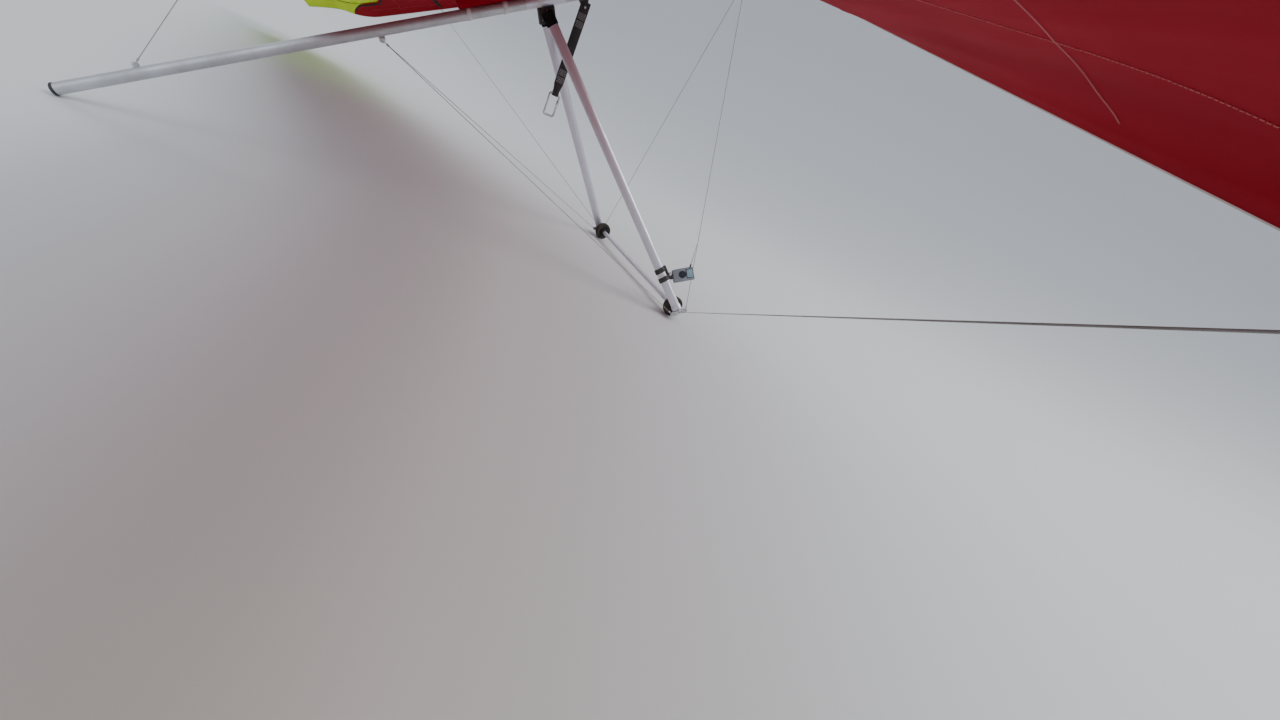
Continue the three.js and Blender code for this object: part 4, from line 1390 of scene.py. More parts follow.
for label, side in SIDES:
    for lime, colour, material in ((False, "red", red_cloth), (True, "lime", lime_cloth)):
        chosen = [y for y in batten_ys if (y > LIME_START_Y) == lime]
        above = pocket_lines(chosen, white_edge, ABOVE_FRONT_GAP, ABOVE_REAR_GAP)
        below = pocket_lines(chosen, hem_depth, BELOW_FRONT_GAP, BELOW_REAR_GAP)
        for name, point_at, places, lift, sizes in (
            ("above", upper_point, above, LIFT / 2, RIDGE),
            ("below", under_point, below, UNDER_LIFT, UNDER_POCKET),
        ):
            lines = [cloth_line(point_at, line, side, lift) for line in places]
            pocket = tapes(f"{colour}_pockets_{name}_{label}", lines, material, *sizes)
            sewn["upper", label].append(settle(pocket, f"{colour}_sailcloth"))

# %% Batten tips and the trailing-edge tape
TAPE_DEPTH, TAPE_GAP, TAPE_FOLD, TAPE_THICKNESS = 0.024, 0.0010, 0.0015, 0.0008
TAPE_RUN = np.array([0, 0.012, 0.024, 0.026, 0.028, 0.040, 0.052])
TIP_LENGTH, TIP_OVERHANG, TIP_STEPS, TIP_SINK = 0.030, 0.004, 4, 0.0035


def trailing_grid(side):
    """A black tape folded over the trailing edge, from above it to below it."""
    above, below = TAPE_GAP, -CLOTH - TAPE_GAP
    folds = [(-TAPE_DEPTH, above), (-TAPE_DEPTH / 2, above), (0.0, above), (TAPE_FOLD, -CLOTH / 2)]
    folds += [(0.0, below), (-TAPE_DEPTH / 2, below), (-TAPE_DEPTH, below)]
    ys = np.unique(np.concatenate([stations(), batten_ys]))
    rows = []
    for y in ys:
        row = []
        for back, lift in folds:
            over = max(0.0, trail_back(y) + back - chord_at(y))
            point = upper_point(y, trail_back(y) + back - over, side, lift)
            row.append(point - (over, 0, 0))
        rows.append(row)
    return np.array(rows), stacked(TAPE_RUN[None, :], ys[:, None])


for label, side in SIDES:
    tape = sheet_piece(
        f"trailing_tape_{label}", trailing_grid(side), [trim_cloth], side < 0, TAPE_THICKNESS,
        "black_webbing",
    )
    places = [
        along_batten(y, chord_at(y) - TIP_LENGTH, chord_at(y) + TIP_OVERHANG, TIP_STEPS)
        for y in batten_ys
    ]
    tips = [cloth_line(upper_point, line, side, -TIP_SINK) for line in places]
    ends = tapes(f"batten_tips_{label}", tips, black_plastic, *BATTEN_TIP)
    sewn["upper", label] += [tape, settle(ends, "black_plastic")]

# %% Bead, stitching and seams
LOWER_SEAMS_Y = (0.83, 1.715, 2.60, 3.485)
SEAM_START, SEAM_LEAN, SEAM_LEAN_FROM, SEAM_LEAN_LENGTH = 0.042, 0.045, 0.13, 0.09
STITCH_BACK, STITCH_TAPER, STITCH_LEAST = 0.775, 0.25, 0.05
STITCHES_FROM_Y, STITCHES_TO_Y = 0.30, SURFACE_END_Y - 0.05
BEAD_FORWARD, HEM_SHADOW_INSET, SEAM_INSET = 0.0015, 0.010, 0.004
HEM_SHADOW_FROM_Y, HEM_SHADOW_TO_Y = 3.50, RED_END_Y - 0.02


def lower_edge(y):
    return edge_radius(y) - BEAD_FORWARD


def stitch_back(y):
    """The front seam of the lower cloth, which nears the leading edge towards the tip."""
    return np.maximum(STITCH_LEAST, STITCH_BACK - STITCH_TAPER * y)


def border_tape(y):
    """A black tape on the border of red and lime and along the last of the hem: painted shadow that stands for the
    shade under the hem's edge.
    """
    return min(colour_border(y), hem_depth(y) - HEM_SHADOW_INSET)


def seam_places(y):
    """A seam along the chord, which leans outward where it meets the leading edge."""
    backs = np.linspace(SEAM_START, hem_depth(y) - SEAM_INSET, 60)
    return [
        (y + SEAM_LEAN * ramp(-back, -SEAM_LEAN_FROM, SEAM_LEAN_LENGTH) ** 1.5, back)
        for back in backs
    ]


for label, side in SIDES:
    edge = spanwise(ROWS_START_Y, TIP_Y - 0.01, lower_edge)
    line = cloth_line(lower_point, edge, side, FLAT_LIFT)
    bead = tapes(f"leading_bead_{label}", [line], white_cloth, *BEAD)
    across = [cloth_line(lower_point, seam_places(y), side, FLAT_LIFT) for y in LOWER_SEAMS_Y]
    seams = tapes(f"lower_seams_{label}", across, seam_thread, *SEAM)
    # Painted shadow: a black tape where the hem's edge casts its shade on the lower cloth.
    edge = spanwise(HEM_SHADOW_FROM_Y, HEM_SHADOW_TO_Y, border_tape, 60)
    line = cloth_line(lower_point, edge, side, HEM_SHADOW_LIFT)
    border = tapes(f"border_tape_{label}", [line], trim_cloth, *HEM_SHADOW_TAPE)
    edge = spanwise(STITCHES_FROM_Y, STITCHES_TO_Y, stitch_back)
    line = cloth_line(lower_point, edge, side, FLAT_LIFT)
    dashes = stitches(f"edge_stitches_{label}", [line], stitch_thread, *EDGE_STITCH)
    settle(border, "black_webbing")
    for piece in (bead, seams, dashes):
        settle(piece, "white_sailcloth")
    sewn["lower", label] += [border, bead, seams, dashes]

# %% The small panel that closes the wing's end, from the leading edge to the hem
END_Y = TIP_Y - 0.0012


def end_panel(side, rows=5):
    radius = edge_radius(END_Y)
    nose = radius * np.linspace(0.03, 1, 10, endpoint=False) ** 1.6
    backs = np.r_[nose, np.linspace(radius, hem_depth(END_Y), 16)]
    low = np.where(backs < radius, nose_z(END_Y, backs), lower_z(END_Y, backs))
    high = upper_z(END_Y, backs) - CLOTH
    z = low + (high - low) * np.linspace(0, 1, rows)[:, None]
    x = lead_x(END_Y) - backs
    return stacked(x, side * END_Y, z), stacked(x, z)


for label, side in SIDES:
    panel = sheet_piece(
        f"wing_end_{label}", end_panel(side), [white_cloth], side < 0, CLOTH, "white_sailcloth"
    )
    sewn["lower", label].append(panel)

# %% Rows of stitches above: along the white panel and both sides of each pocket
WHITE_SEAM_INSETS = (0.006, 0.016)
POCKET_SEAM = POCKET_WIDTH / 2 - 0.003
for label, side in SIDES:
    rows = []
    for inset in WHITE_SEAM_INSETS:
        places = spanwise(ROWS_START_Y, TIP_Y - 0.03, lambda y: white_edge(y) + inset)
        rows.append(cloth_line(upper_point, places, side))
    for y in batten_ys:
        for step in (-POCKET_SEAM, POCKET_SEAM):
            places = along_batten(y + step, white_edge(y) + 0.04, trail_back(y) - 0.03)
            rows.append(cloth_line(upper_point, places, side, LIFT * 1.1))
    above = stitches(f"top_stitches_{label}", rows, pale_thread, *TOP_STITCH)
    sewn["upper", label].append(settle(above, "white_sailcloth"))

# %% [markdown]
# ## Patches, the nose and the keel pocket
# Where a wire meets the sail the cloth is doubled with a round patch. The gap between
# the wings is closed by a narrow strip, the nose by a smooth cap, and over the keel a
# pocket of cloth hangs from the sail's middle seam down to the tube.

# %% Round patches where wires meet the cloth
PATCH_RINGS, PATCH_SPOKES, PATCH_LIFT, PATCH_THICKNESS = 4, 28, 0.001, 0.0009
TANG_BACK, TANG_PATCH = 0.062, 0.030
WIRE_BACK, WIRE_PATCH = 0.050, 0.034


def patch(name, point_at, y, back, radius, side):
    """A round patch that follows the cloth."""
    points = [point_at(y, back, side)]
    for reach in np.linspace(0, radius, PATCH_RINGS + 1)[1:]:
        for a in full_turn(PATCH_SPOKES):
            points.append(point_at(y + reach * math.sin(a), back + reach * math.cos(a), side))
    up = surface_up(point_at, y, back, side)
    points = np.array(points) + up * PATCH_LIFT
    faces = disc_faces(PATCH_RINGS, PATCH_SPOKES)
    uv = [points[v][:2] for face in faces for v in face]
    piece = mesh_piece(name, park(points), faces, [trim_cloth], uv)
    if piece.data.polygons[0].normal.dot(turn(up)) < 0:
        piece.data.flip_normals()
    return settle(thicken(piece, PATCH_THICKNESS), "black_webbing")


for label, side in SIDES:
    for layer, name, point_at, back, radius in (
        ("lower", "tang_patch", lower_point, TANG_BACK, TANG_PATCH),
        ("upper", "wire_patch", upper_point, WIRE_BACK, WIRE_PATCH),
    ):
        piece = patch(f"{name}_{label}", point_at, JUNCTION_Y, back, radius, side)
        sewn[layer, label].append(piece)

# %% Nose strip and nose cone
STRIP_FRONT_X, STRIP_REAR_X, STRIP_HALF_WIDTH = 1.195, 0.118, 0.0307
CONE_HALF_WIDTH, CONE_ROUNDING, CONE_LIFT, CONE_THICKNESS = 0.250, 0.020, 0.0045, 0.002
CONE_DEPTH_SHARE = 0.16


def root_z(x):
    """The height of the sail's top beside the keel."""
    return upper_z(ROOT_Y, lead_x(ROOT_Y) - x)


def nose_strip_grid():
    xs = np.linspace(STRIP_FRONT_X, STRIP_REAR_X, 60)[:, None]
    ys = np.linspace(-STRIP_HALF_WIDTH, STRIP_HALF_WIDTH, 7)
    return stacked(xs, ys, root_z(xs)), stacked(ys, xs)


def cone_grid():
    """A smooth cap: the sail's front, carried outwards and rounded over the keel."""
    rows, maps = [], []
    for y in np.linspace(-CONE_HALF_WIDTH, CONE_HALF_WIDTH, 61):
        out = min(CONE_HALF_WIDTH, math.hypot(y, CONE_ROUNDING))
        rear = LEADING_RADIUS + (hem_depth(out) - LEADING_RADIUS) * CONE_DEPTH_SHARE
        nose = LEADING_RADIUS * np.linspace(0, 1, 10, endpoint=False) ** 2
        over = np.r_[nose, np.linspace(LEADING_RADIUS, rear, 24)][::-1]
        under = LEADING_RADIUS * np.linspace(0, 1, 10)[1:] ** 2
        heights = np.r_[upper_z(out, over), nose_z(out, under)]
        line = stacked(lead_x(out) - np.r_[over, under], heights)
        runs = np.gradient(line, axis=0)
        runs /= np.linalg.norm(runs, axis=1, keepdims=True)
        pushed = line + CONE_LIFT * stacked(-runs[:, 1], runs[:, 0])
        rows.append(stacked(pushed[:, 0], y, pushed[:, 1]))
        maps.append(stacked(run_lengths(pushed), y))
    return np.array(rows), np.array(maps)


BOTH_SAILS = ["sail_port", "sail_starboard"]
strip = sheet_piece(
    "nose_strip_cloth", nose_strip_grid(), [white_cloth], True, CLOTH, "white_sailcloth",
    "nose_strip",
)
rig.sheet(strip, flat=(0.062, 1.09), held="stretched", rests_on=BOTH_SAILS)
cone = sheet_piece(
    "nose_cone_cap", cone_grid(), [white_cloth], True, CONE_THICKNESS, "white_sailcloth",
    "nose_cone",
)
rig.sheet(cone, flat=(0.50, 0.43), held="stretched", rests_on=BOTH_SAILS)

# %% Keel pocket
POCKET_TOP_HALF, POCKET_FOOT_HALF, POCKET_FOOT_Z = 0.0307, 0.0215, 0.0245
POCKET_FRONT_X, POCKET_REAR_X, POCKET_HEEL_X, POCKET_TAIL_X = 0.010, -0.420, -0.500, -1.104
POCKET_STEPS, POCKET_STRIP, POCKET_WAIST = 7, 0.008, 0.004


def pocket_foot(x, top):
    """How low the pocket reaches: to the keel, and behind its heel only a strip."""
    share = ramp(-x, -POCKET_REAR_X, POCKET_REAR_X - POCKET_HEEL_X)
    return POCKET_FOOT_Z + (top - POCKET_STRIP - POCKET_FOOT_Z) * share


def pocket_ring(x):
    """The pocket's outline across the glider, down one wall and up the other."""
    top = root_z(x)
    foot = pocket_foot(x, top)
    depth = (top - foot) / (root_z(POCKET_FRONT_X) - POCKET_FOOT_Z)
    t = np.linspace(0, 1, POCKET_STEPS)
    narrowing = (POCKET_FOOT_HALF - POCKET_TOP_HALF) * min(1.0, depth)
    half = POCKET_TOP_HALF + narrowing * t - POCKET_WAIST * np.sin(math.pi * t) * depth
    z = top + (foot - top) * t
    return np.concatenate([stacked(x, -half, z), stacked(x, half, z)[::-1]])


def keel_pocket_piece():
    xs = spread([POCKET_FRONT_X, POCKET_REAR_X, POCKET_HEEL_X, POCKET_TAIL_X], [26, 14, 40])
    rows = np.array([pocket_ring(x) for x in xs])
    count = rows.shape[1]
    faces, cells = grid_faces(len(xs), count, wrap=True)
    around = run_lengths(np.r_[rows[0], rows[0][:1]])
    uv = [(around[b], -xs[a]) for cell in cells for a, b in cell] + [(0.0, 0.0)] * (2 * count)
    corners = list(range(len(xs) * count))
    faces += [corners[:count], corners[-count:][::-1]]
    points = park(rows).reshape(-1, 3)
    return outward(mesh_piece("keel_pocket_cloth", points, faces, [red_cloth], uv, 40))


pocket = settle(keel_pocket_piece(), "red_sailcloth", "keel_pocket")
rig.padded(pocket, fill=0.8)

# %% Bands of webbing that hold the pocket to the keel
POCKET_BANDS_X = (-0.03, -0.20, -0.38)
BAND_WIDTH, BAND_THICKNESS, BAND_ROUND = 0.020, 0.0016, 0.0256
ALONG_KEEL = (1, 0, 0)


def ring_path(x, radius, steps=32):
    return [(x, a, b) for a, b in circle(radius, steps)]


def band_section(width, thickness):
    """A flat section whose edges are slightly rounded."""
    w, t, ease_w, ease_t = width / 2, thickness / 2, 0.0004, 0.0002
    half = [(-w, -t + ease_t), (-w + ease_w, -t), (w - ease_w, -t), (w, -t + ease_t)]
    return half + [(-a, -b) for a, b in half]


bands = [
    swept(
        f"pocket_band_{n}", ring_path(x, BAND_ROUND), band_section(BAND_WIDTH, BAND_THICKNESS),
        ALONG_KEEL, white_cloth, closed=True,
    )
    for n, x in enumerate(POCKET_BANDS_X)
]
settle(joined("pocket_bands", bands), "white_sailcloth")

LARGE_CLOTHS = [("upper", (5.05, 2.50), 8.45), ("lower", (5.05, 1.75), 3.70)]
for label, _ in SIDES:
    for layer, flat, area in LARGE_CLOTHS:
        cloth = bpy.data.objects[f"sail_{layer}_cloth_{label}"]
        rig.sheet(
            cloth, flat=flat, held="stretched", rests_on=["keel_tube"], area=area,
            with_pieces=sewn[layer, label],
        )
        print(cloth.name, "carries", len(sewn[layer, label]), "sewn pieces")

# %% [markdown]
# ## Keel and control frame
# The keel is plain drawn tube. The downtubes have a streamlined section, blunt in front
# and thin behind, so they are that section carried along a line. Their tops wear black
# covers and their feet pale sleeves, each with a bolt or a pin that can be pulled for
# folding. The base bar is round tube between the two corner sleeves.

# %% The keel, its end cap and two sleeves that reinforce it
KEEL_SIDES = 48
CAP_DEPTH, CAP_FACE_RADIUS, CAP_CHAMFER = 0.0157, 0.0205, 0.0045
KEEL_SLEEVES = [("front", 0.36, 0.62), ("middle", -0.10, 0.10)]
SLEEVE_WALL = 0.0011
UPRIGHT = (0, 0, 1)


def keel_length(name, rear, front, radius, steps, material):
    path = straight((rear, 0, 0), (front, 0, 0), steps)
    return swept(name, path, circle(radius, KEEL_SIDES), UPRIGHT, material)


keel = keel_length("keel", KEEL_REAR_X, KEEL_FRONT_X, KEEL_RADIUS, 12, bare_tube)
settle(keel, "bare_aluminium", "keel_tube")

cap_profile = [
    (0.0, 0.0), (CAP_FACE_RADIUS, 0.0), (KEEL_CAP_RADIUS, CAP_CHAMFER),
    (KEEL_CAP_RADIUS, CAP_DEPTH), (0.0, CAP_DEPTH),
]
end_cap = turned(
    "keel_cap", eased(cap_profile, 0.002), (KEEL_CAP_END_X, 0, 0), ALONG_KEEL, black_plastic, 56
)
settle(end_cap, "black_plastic", "keel_end_cap")

sleeves = [
    keel_length(f"sleeve_{name}", rear, front, KEEL_RADIUS + SLEEVE_WALL, 4, anodised)
    for name, rear, front in KEEL_SLEEVES
]
settle(joined("keel_sleeves", sleeves), "anodised_tube")

# %% The streamlined section and the downtubes' line
WIDEST_SHARE, TAIL_SHARE, BEND_SHARE = 0.12, 0.09, 0.34
POST_TOP_Y, POST_TOP_Z = 0.035, -0.055
POST_LENGTH = math.dist((0, POST_TOP_Y, POST_TOP_Z), CORNER)


def streamlined(chord, thickness, nose_points=18, flank_points=9):
    """A half ellipse in front and two curved flanks that meet a thin rear edge."""
    widest, tail, half = WIDEST_SHARE * chord, TAIL_SHARE * thickness, thickness / 2
    bend = widest - BEND_SHARE * chord
    angles = np.linspace(-math.pi / 2, math.pi / 2, nose_points)
    front = [(widest + (chord / 2 - widest) * math.cos(a), half * math.sin(a)) for a in angles]
    flank = []
    for t in np.linspace(0, 1, flank_points)[1:]:
        x = widest * (1 - t) ** 2 + 2 * bend * t * (1 - t) - chord / 2 * t * t
        flank.append((x, half * (1 - t * t) + tail * t * t))
    below = [(x, -z) for x, z in reversed(flank)]
    return front + flank + [(-chord / 2 - tail * 0.5, 0.0)] + below


def post_point(side, distance):
    """A point on a downtube's line at a distance from its top."""
    top = np.array([0.0, side * POST_TOP_Y, POST_TOP_Z])
    corner = np.array([CORNER[0], side * CORNER[1], CORNER[2]])
    return top + (corner - top) / np.linalg.norm(corner - top) * distance


print("downtube axis", round(POST_LENGTH, 3), "m")

# %% Downtubes, covers and corner sleeves
POST_COVER_LENGTH, POST_END, SLEEVE_END = 0.052, 0.042, 0.018
FOOT_TOP = POST_LENGTH - POST_END
TUBE_RINGS = [(d, 1.0) for d in np.linspace(POST_COVER_LENGTH - 0.004, FOOT_TOP, 10)]
COVER_RINGS = [
    (-0.012, 0.93), (-0.006, 1.0), (0.012, 1.0), (0.018, 0.95), (0.024, 1.0), (0.036, 0.98),
    (0.045, 0.99), (0.050, 0.96), (POST_COVER_LENGTH, 0.90),
]
FOOT_RINGS = [
    (FOOT_TOP + 0.0003, 0.93), (FOOT_TOP + 0.003, 1.0),
    (POST_LENGTH + SLEEVE_END - 0.004, 1.0), (POST_LENGTH + SLEEVE_END, 0.92),
]
# piece, node, slot, material, rings of distance and scale, chord and thickness, sharp angle
POST_PIECES = [
    ("downtube_tube", "downtube", "anodised_tube", anodised, TUBE_RINGS, (0.052, 0.022), 40),
    (
        "downtube_boot", "downtube_cover", "black_webbing", cover_cloth, COVER_RINGS,
        (0.060, 0.028), 60,
    ),
    ("corner_sleeve", "corner_bracket", "anodised_tube", anodised, FOOT_RINGS, (0.058, 0.028), 50),
]


def ringed(name, rings, point_at, size, material, sharp):
    """A streamlined piece from rings of (distance, scale) along a line."""
    path = [point_at(distance) for distance, _ in rings]
    scales = [scale for _, scale in rings]
    return swept(name, path, streamlined(*size), ALONG_KEEL, material, scales, sharp=sharp)


for label, side in SIDES:
    for name, node_name, slot, material, rings, size, sharp in POST_PIECES:
        piece = ringed(
            f"{name}_{label}", rings, lambda d: post_point(side, d), size, material, sharp
        )
        settle(piece, slot, f"{node_name}_{label}")

# %% Corner sockets, tangs and the base bar
BAR_RADIUS, BAR_END_Y = 0.015, 0.6597
SOCKET_Y, SOCKET_RADIUS, SOCKET_LENGTH = 0.660, 0.018, 0.045
SOCKET = [
    (0.0, 0.0), (SOCKET_RADIUS, 0.0), (SOCKET_RADIUS, SOCKET_LENGTH), (0.0, SOCKET_LENGTH)
]
TANG_Y, TANG_THICKNESS = 0.706, 0.006
ACROSS = (0, 1, 0)


def corner_at(y, side, dx=0.0):
    """A point beside a lower corner of the control frame."""
    return (CORNER[0] + dx, side * y, CORNER[2])


def stadium(half_length, half_width, steps=10):
    """A long plate's outline with round ends."""
    middle = half_length - half_width
    right = [
        (middle + half_width * math.cos(a), half_width * math.sin(a))
        for a in np.linspace(-math.pi / 2, math.pi / 2, steps)
    ]
    return right + [(-x, -y) for x, y in right]


CORNER_TANG = stadium(0.054, 0.013)
for label, side in SIDES:
    start, outwards = corner_at(SOCKET_Y, side), (0, side, 0)
    socket = turned(f"socket_{label}", eased(SOCKET, 0.0015), start, outwards, steel, 40)
    centre = corner_at(TANG_Y, side)
    tang = plate(f"tang_{label}", CORNER_TANG, 1, centre, TANG_THICKNESS, 0.001, steel)
    fitting = joined(f"corner_fitting_{label}", [socket, tang])
    settle(fitting, "steel_fittings", f"corner_bracket_{label}")

bar_path = straight(corner_at(BAR_END_Y, -1), corner_at(BAR_END_Y, 1), 8)
bar = swept("base_bar_tube", bar_path, circle(BAR_RADIUS, 40), ALONG_KEEL, anodised)
settle(bar, "anodised_tube", "base_bar")

# %% The bracket that holds the downtubes' tops under the keel
apex = rounded_copy("apex_fitting", "apex_bracket", 0.0040, black_plastic)
settle(apex, "black_plastic", "apex_bracket")

# %% [markdown]
# ## Wheels
# Each wheel is a black tyre on a moulded hub that turns freely on the bar between the
# corner socket and a collar. Profiles are turned about the bar's axis. The hub's ribs
# are one rib set round a circle by a node tree.


# %% A tree for ribs round a hub
def make_rib_tree():
    tree, given, made = geometry_tree("ribs", "Distance", Count="Int", Size="Vector")
    ring = node(
        tree, "GeometryNodeMeshCircle", Vertices=given["Count"], Radius=given["Distance"]
    )[0]
    block = node(tree, "GeometryNodeMeshCube", Size=given["Size"])["Mesh"]
    aimed = aim_rotation(tree, node(tree, "GeometryNodeInputPosition")[0], axis="X")
    placed = node(tree, INSTANCES, Points=ring, Instance=block, Rotation=aimed)[0]
    return finish_tree(tree, given, made, placed)


rib_tree = make_rib_tree()


def ribs(name, count, distance, size, centre, axis, material, place=park):
    """Blocks round a circle whose middle and axis are given like the place's points."""
    piece = run_tree(
        name, rib_tree, bpy.data.meshes.new(name),
        Count=count, Distance=distance, Size=size, Material=material,
    )
    direction = turn(axis) if place is park else Vector(axis)
    rotation = direction.to_track_quat("Z", "X").to_matrix().to_4x4()
    piece.data.transform(Matrix.Translation(Vector(place(centre))) @ rotation)
    return piece


# %% Tyres, hubs and collars
WHEEL_Y, COLLAR_Y = 0.625, 0.588
HUB_BORE = BAR_RADIUS + 0.0006
RIB_COUNT, RIB_SIZE, RIB_DISTANCE = 8, (0.010, 0.0022, 0.024), 0.0285


def symmetric(half, closed=True):
    """A profile of (radius, along) pairs from its half on the far side."""
    whole = [(radius, -along) for radius, along in half] + half[::-1]
    return whole + whole[:1] if closed else whole


TYRE = symmetric([
    (0.0363, 0.0175), (0.0440, 0.0205), (0.0530, 0.0225), (0.0575, 0.0170), (0.0594, 0.0100),
    (WHEEL_RADIUS, 0.0050),
])
HUB = symmetric([
    (HUB_BORE, 0.0225), (0.0216, 0.0225), (0.0236, 0.0165), (0.0250, 0.0100), (0.0325, 0.0090),
    (0.0335, 0.0145), (0.0360, 0.0145),
])
COLLAR = symmetric([(0.0153, 0.0090), (0.0200, 0.0090), (0.0210, 0.0078)])

for label, side in SIDES:
    centre, wheel = corner_at(WHEEL_Y, side), f"wheel_{label}"
    tyre = turned(f"tyre_{label}", TYRE, centre, ACROSS, rubber, 72, 50)
    settle(tyre, "black_rubber", f"wheel_tyre_{label}", body=wheel)
    hub = turned(f"hub_{label}", HUB, centre, ACROSS, black_plastic, 56)
    ring = ribs(f"ribs_{label}", RIB_COUNT, RIB_DISTANCE, RIB_SIZE, centre, ACROSS, black_plastic)
    whole = joined(f"hub_{label}", [hub, ring])
    settle(whole, "black_plastic", f"wheel_hub_{label}", body=wheel)
    collar = turned(
        f"collar_{label}", COLLAR, corner_at(COLLAR_Y, side), ACROSS, black_plastic, 40
    )
    settle(collar, "black_plastic", f"bar_collar_{label}")

# %% [markdown]
# ## Nose, tangs and kingpost
# Moulded and flat parts keep their CAD outline and only gain rounded edges and bolts.
# The kingpost has the same kind of section as the downtubes and a moulded cap.

# %% Nose plate, nose block, kingpost foot and tangs
# piece, node, bevel, material, slot
PLAIN_FITTINGS = [
    ("nose_plate_fitting", "nose_plate", 0.0010, steel, "steel_fittings"),
    ("nose_block_fitting", "nose_block", 0.0020, black_plastic, "black_plastic"),
    ("kingpost_foot_fitting", "kingpost_foot", 0.0030, steel, "steel_fittings"),
]
for name, node_name, bevel, material, slot in PLAIN_FITTINGS:
    settle(rounded_copy(name, node_name, bevel, material), slot, node_name)

TANG_BEVEL = 0.0008
REAR_TANG_X, NOSE_TANG_X, UPPER_REAR_X = -0.807, 1.100, -1.850
JUNCTION_BACK = 0.030
JUNCTION_X = lead_x(JUNCTION_Y) - JUNCTION_BACK
JUNCTION_Z = lead_z(JUNCTION_Y) - LEADING_RADIUS
# node, place along the keel, half width, low and high end, whether the low end is round
KEEL_TANGS = [
    ("nose_tang", NOSE_TANG_X, 0.015, -0.074, -0.0463, True),
    ("rear_tang", REAR_TANG_X, 0.015, -0.050, -0.0243, True),
    ("upper_rear_tang", UPPER_REAR_X, 0.014, 0.0243, 0.046, False),
]


def tang_outline(half_width, low, high, round_low=True):
    """A tang that is round at the end where the wires hold."""
    centre, square = (low + half_width, high) if round_low else (high - half_width, low)
    first = math.pi if round_low else 0.0
    curve = [
        (half_width * math.cos(a), centre + half_width * math.sin(a))
        for a in np.linspace(first, first + math.pi, 12)
    ]
    return curve + [(curve[-1][0], square), (curve[0][0], square)]


for node_name, x, *outline in KEEL_TANGS:
    outline, centre = tang_outline(*outline), (x, 0, 0)
    piece = plate(f"{node_name}_plate", outline, 1, centre, TANG_THICKNESS, TANG_BEVEL, steel)
    settle(piece, "steel_fittings", node_name)

for label, side in SIDES:
    outline = tang_outline(0.014, JUNCTION_Z - 0.038, JUNCTION_Z - 0.001)
    centre = (JUNCTION_X, side * JUNCTION_Y, 0)
    piece = plate(
        f"side_tang_plate_{label}", outline, 0, centre, TANG_THICKNESS, TANG_BEVEL, steel
    )
    settle(piece, "steel_fittings", f"side_tang_{label}")

# %% Kingpost
KINGPOST_FOOT, KINGPOST_TOP = np.array((0.062, 0, 0.056)), np.array((-0.015, 0, 1.215))
KING_LENGTH = math.dist(KINGPOST_FOOT, KINGPOST_TOP)
KING_RINGS = [(d, 1.0) for d in np.linspace(0.002, KING_LENGTH - 0.030, 8)]
KING_CAP_RINGS = [(-0.0297, 0.93), (-0.027, 1.0), (0.004, 1.0), (0.010, 0.93), (0.012, 0.80)]


def king_point(distance):
    return KINGPOST_FOOT + (KINGPOST_TOP - KINGPOST_FOOT) / KING_LENGTH * distance


king = ringed("kingpost_tube", KING_RINGS, king_point, (0.044, 0.020), anodised, 40)
settle(king, "anodised_tube", "kingpost")
cap_rings = [(KING_LENGTH + d, scale) for d, scale in KING_CAP_RINGS]
cap = ringed("kingpost_top_cap", cap_rings, king_point, (0.050, 0.026), black_plastic, 50)
settle(cap, "black_plastic", "kingpost_cap")

# %% [markdown]
# ## Rigging
# Every stay is a straight coated cable. One table says where each begins and ends and
# what holds it there: an eye on a tang, or the cloth that it passes through. Each end
# at an eye has a pressed sleeve and a ring of cable. Its pin comes with the bolts.

# %% The table of wires
POST_HEAD = (-0.015, 0, 1.209)
NOSE_HOOK, REAR_HOOK = (NOSE_TANG_X, 0, -0.064), (REAR_TANG_X, 0, -0.040)
UPPER_REAR_HOOK = (UPPER_REAR_X, 0, 0.036)
CONE_TOP_X = 1.120
HOOK_REACH = 0.044

# node, from, its eye's axis, bare length before the sleeve, to, its eye's axis, bare length
WIRES = []
for label, side in SIDES:
    front, middle, rear = (corner_at(TANG_Y, side, dx) for dx in (HOOK_REACH, 0, -HOOK_REACH))
    side_hook = (JUNCTION_X, side * (JUNCTION_Y - 0.006), JUNCTION_Z - 0.030)
    sail_top = upper_point(JUNCTION_Y, WIRE_BACK, side)
    WIRES += [
        (f"front_wire_{label}", front, ACROSS, 0.016, NOSE_HOOK, ACROSS, 0.026),
        (f"rear_wire_{label}", rear, ACROSS, 0.016, REAR_HOOK, ACROSS, 0.024),
        (f"side_wire_{label}", middle, ALONG_KEEL, 0.022, side_hook, ALONG_KEEL, 0.014),
        (f"upper_side_wire_{label}", POST_HEAD, ALONG_KEEL, 0.026, sail_top, None, 0.030),
    ]
cone_top = (CONE_TOP_X, 0, root_z(CONE_TOP_X))
WIRES += [
    ("upper_front_wire", POST_HEAD, ACROSS, 0.046, cone_top, None, 0.032),
    ("upper_rear_wire", POST_HEAD, ACROSS, 0.046, UPPER_REAR_HOOK, ACROSS, 0.020),
]
print("wires:", len(WIRES))

# %% Wires, sleeves and eyes
WIRE_RADIUS, EYE_RADIUS, EYE_STRAND = 0.0015, 0.0065, 0.0022
SLEEVE_RINGS = [(0.0, 0.7), (0.0015, 1.0), (0.0145, 1.0), (0.016, 0.7)]
SLEEVE_SECTION = circle(0.0040, 16, flat=0.7)
SLEEVE_BACK, SLEEVE_LEAST_GAP = 0.004, 0.009
eye_points, eye_axes, sleeve_parts = [], [], []


def sleeve_on(start, direction, number):
    path = [start + direction * distance for distance, _ in SLEEVE_RINGS]
    return swept(
        f"sleeve_{number}", path, SLEEVE_SECTION, (0, 0.3, 1), swage_metal,
        [scale for _, scale in SLEEVE_RINGS], sharp=50,
    )


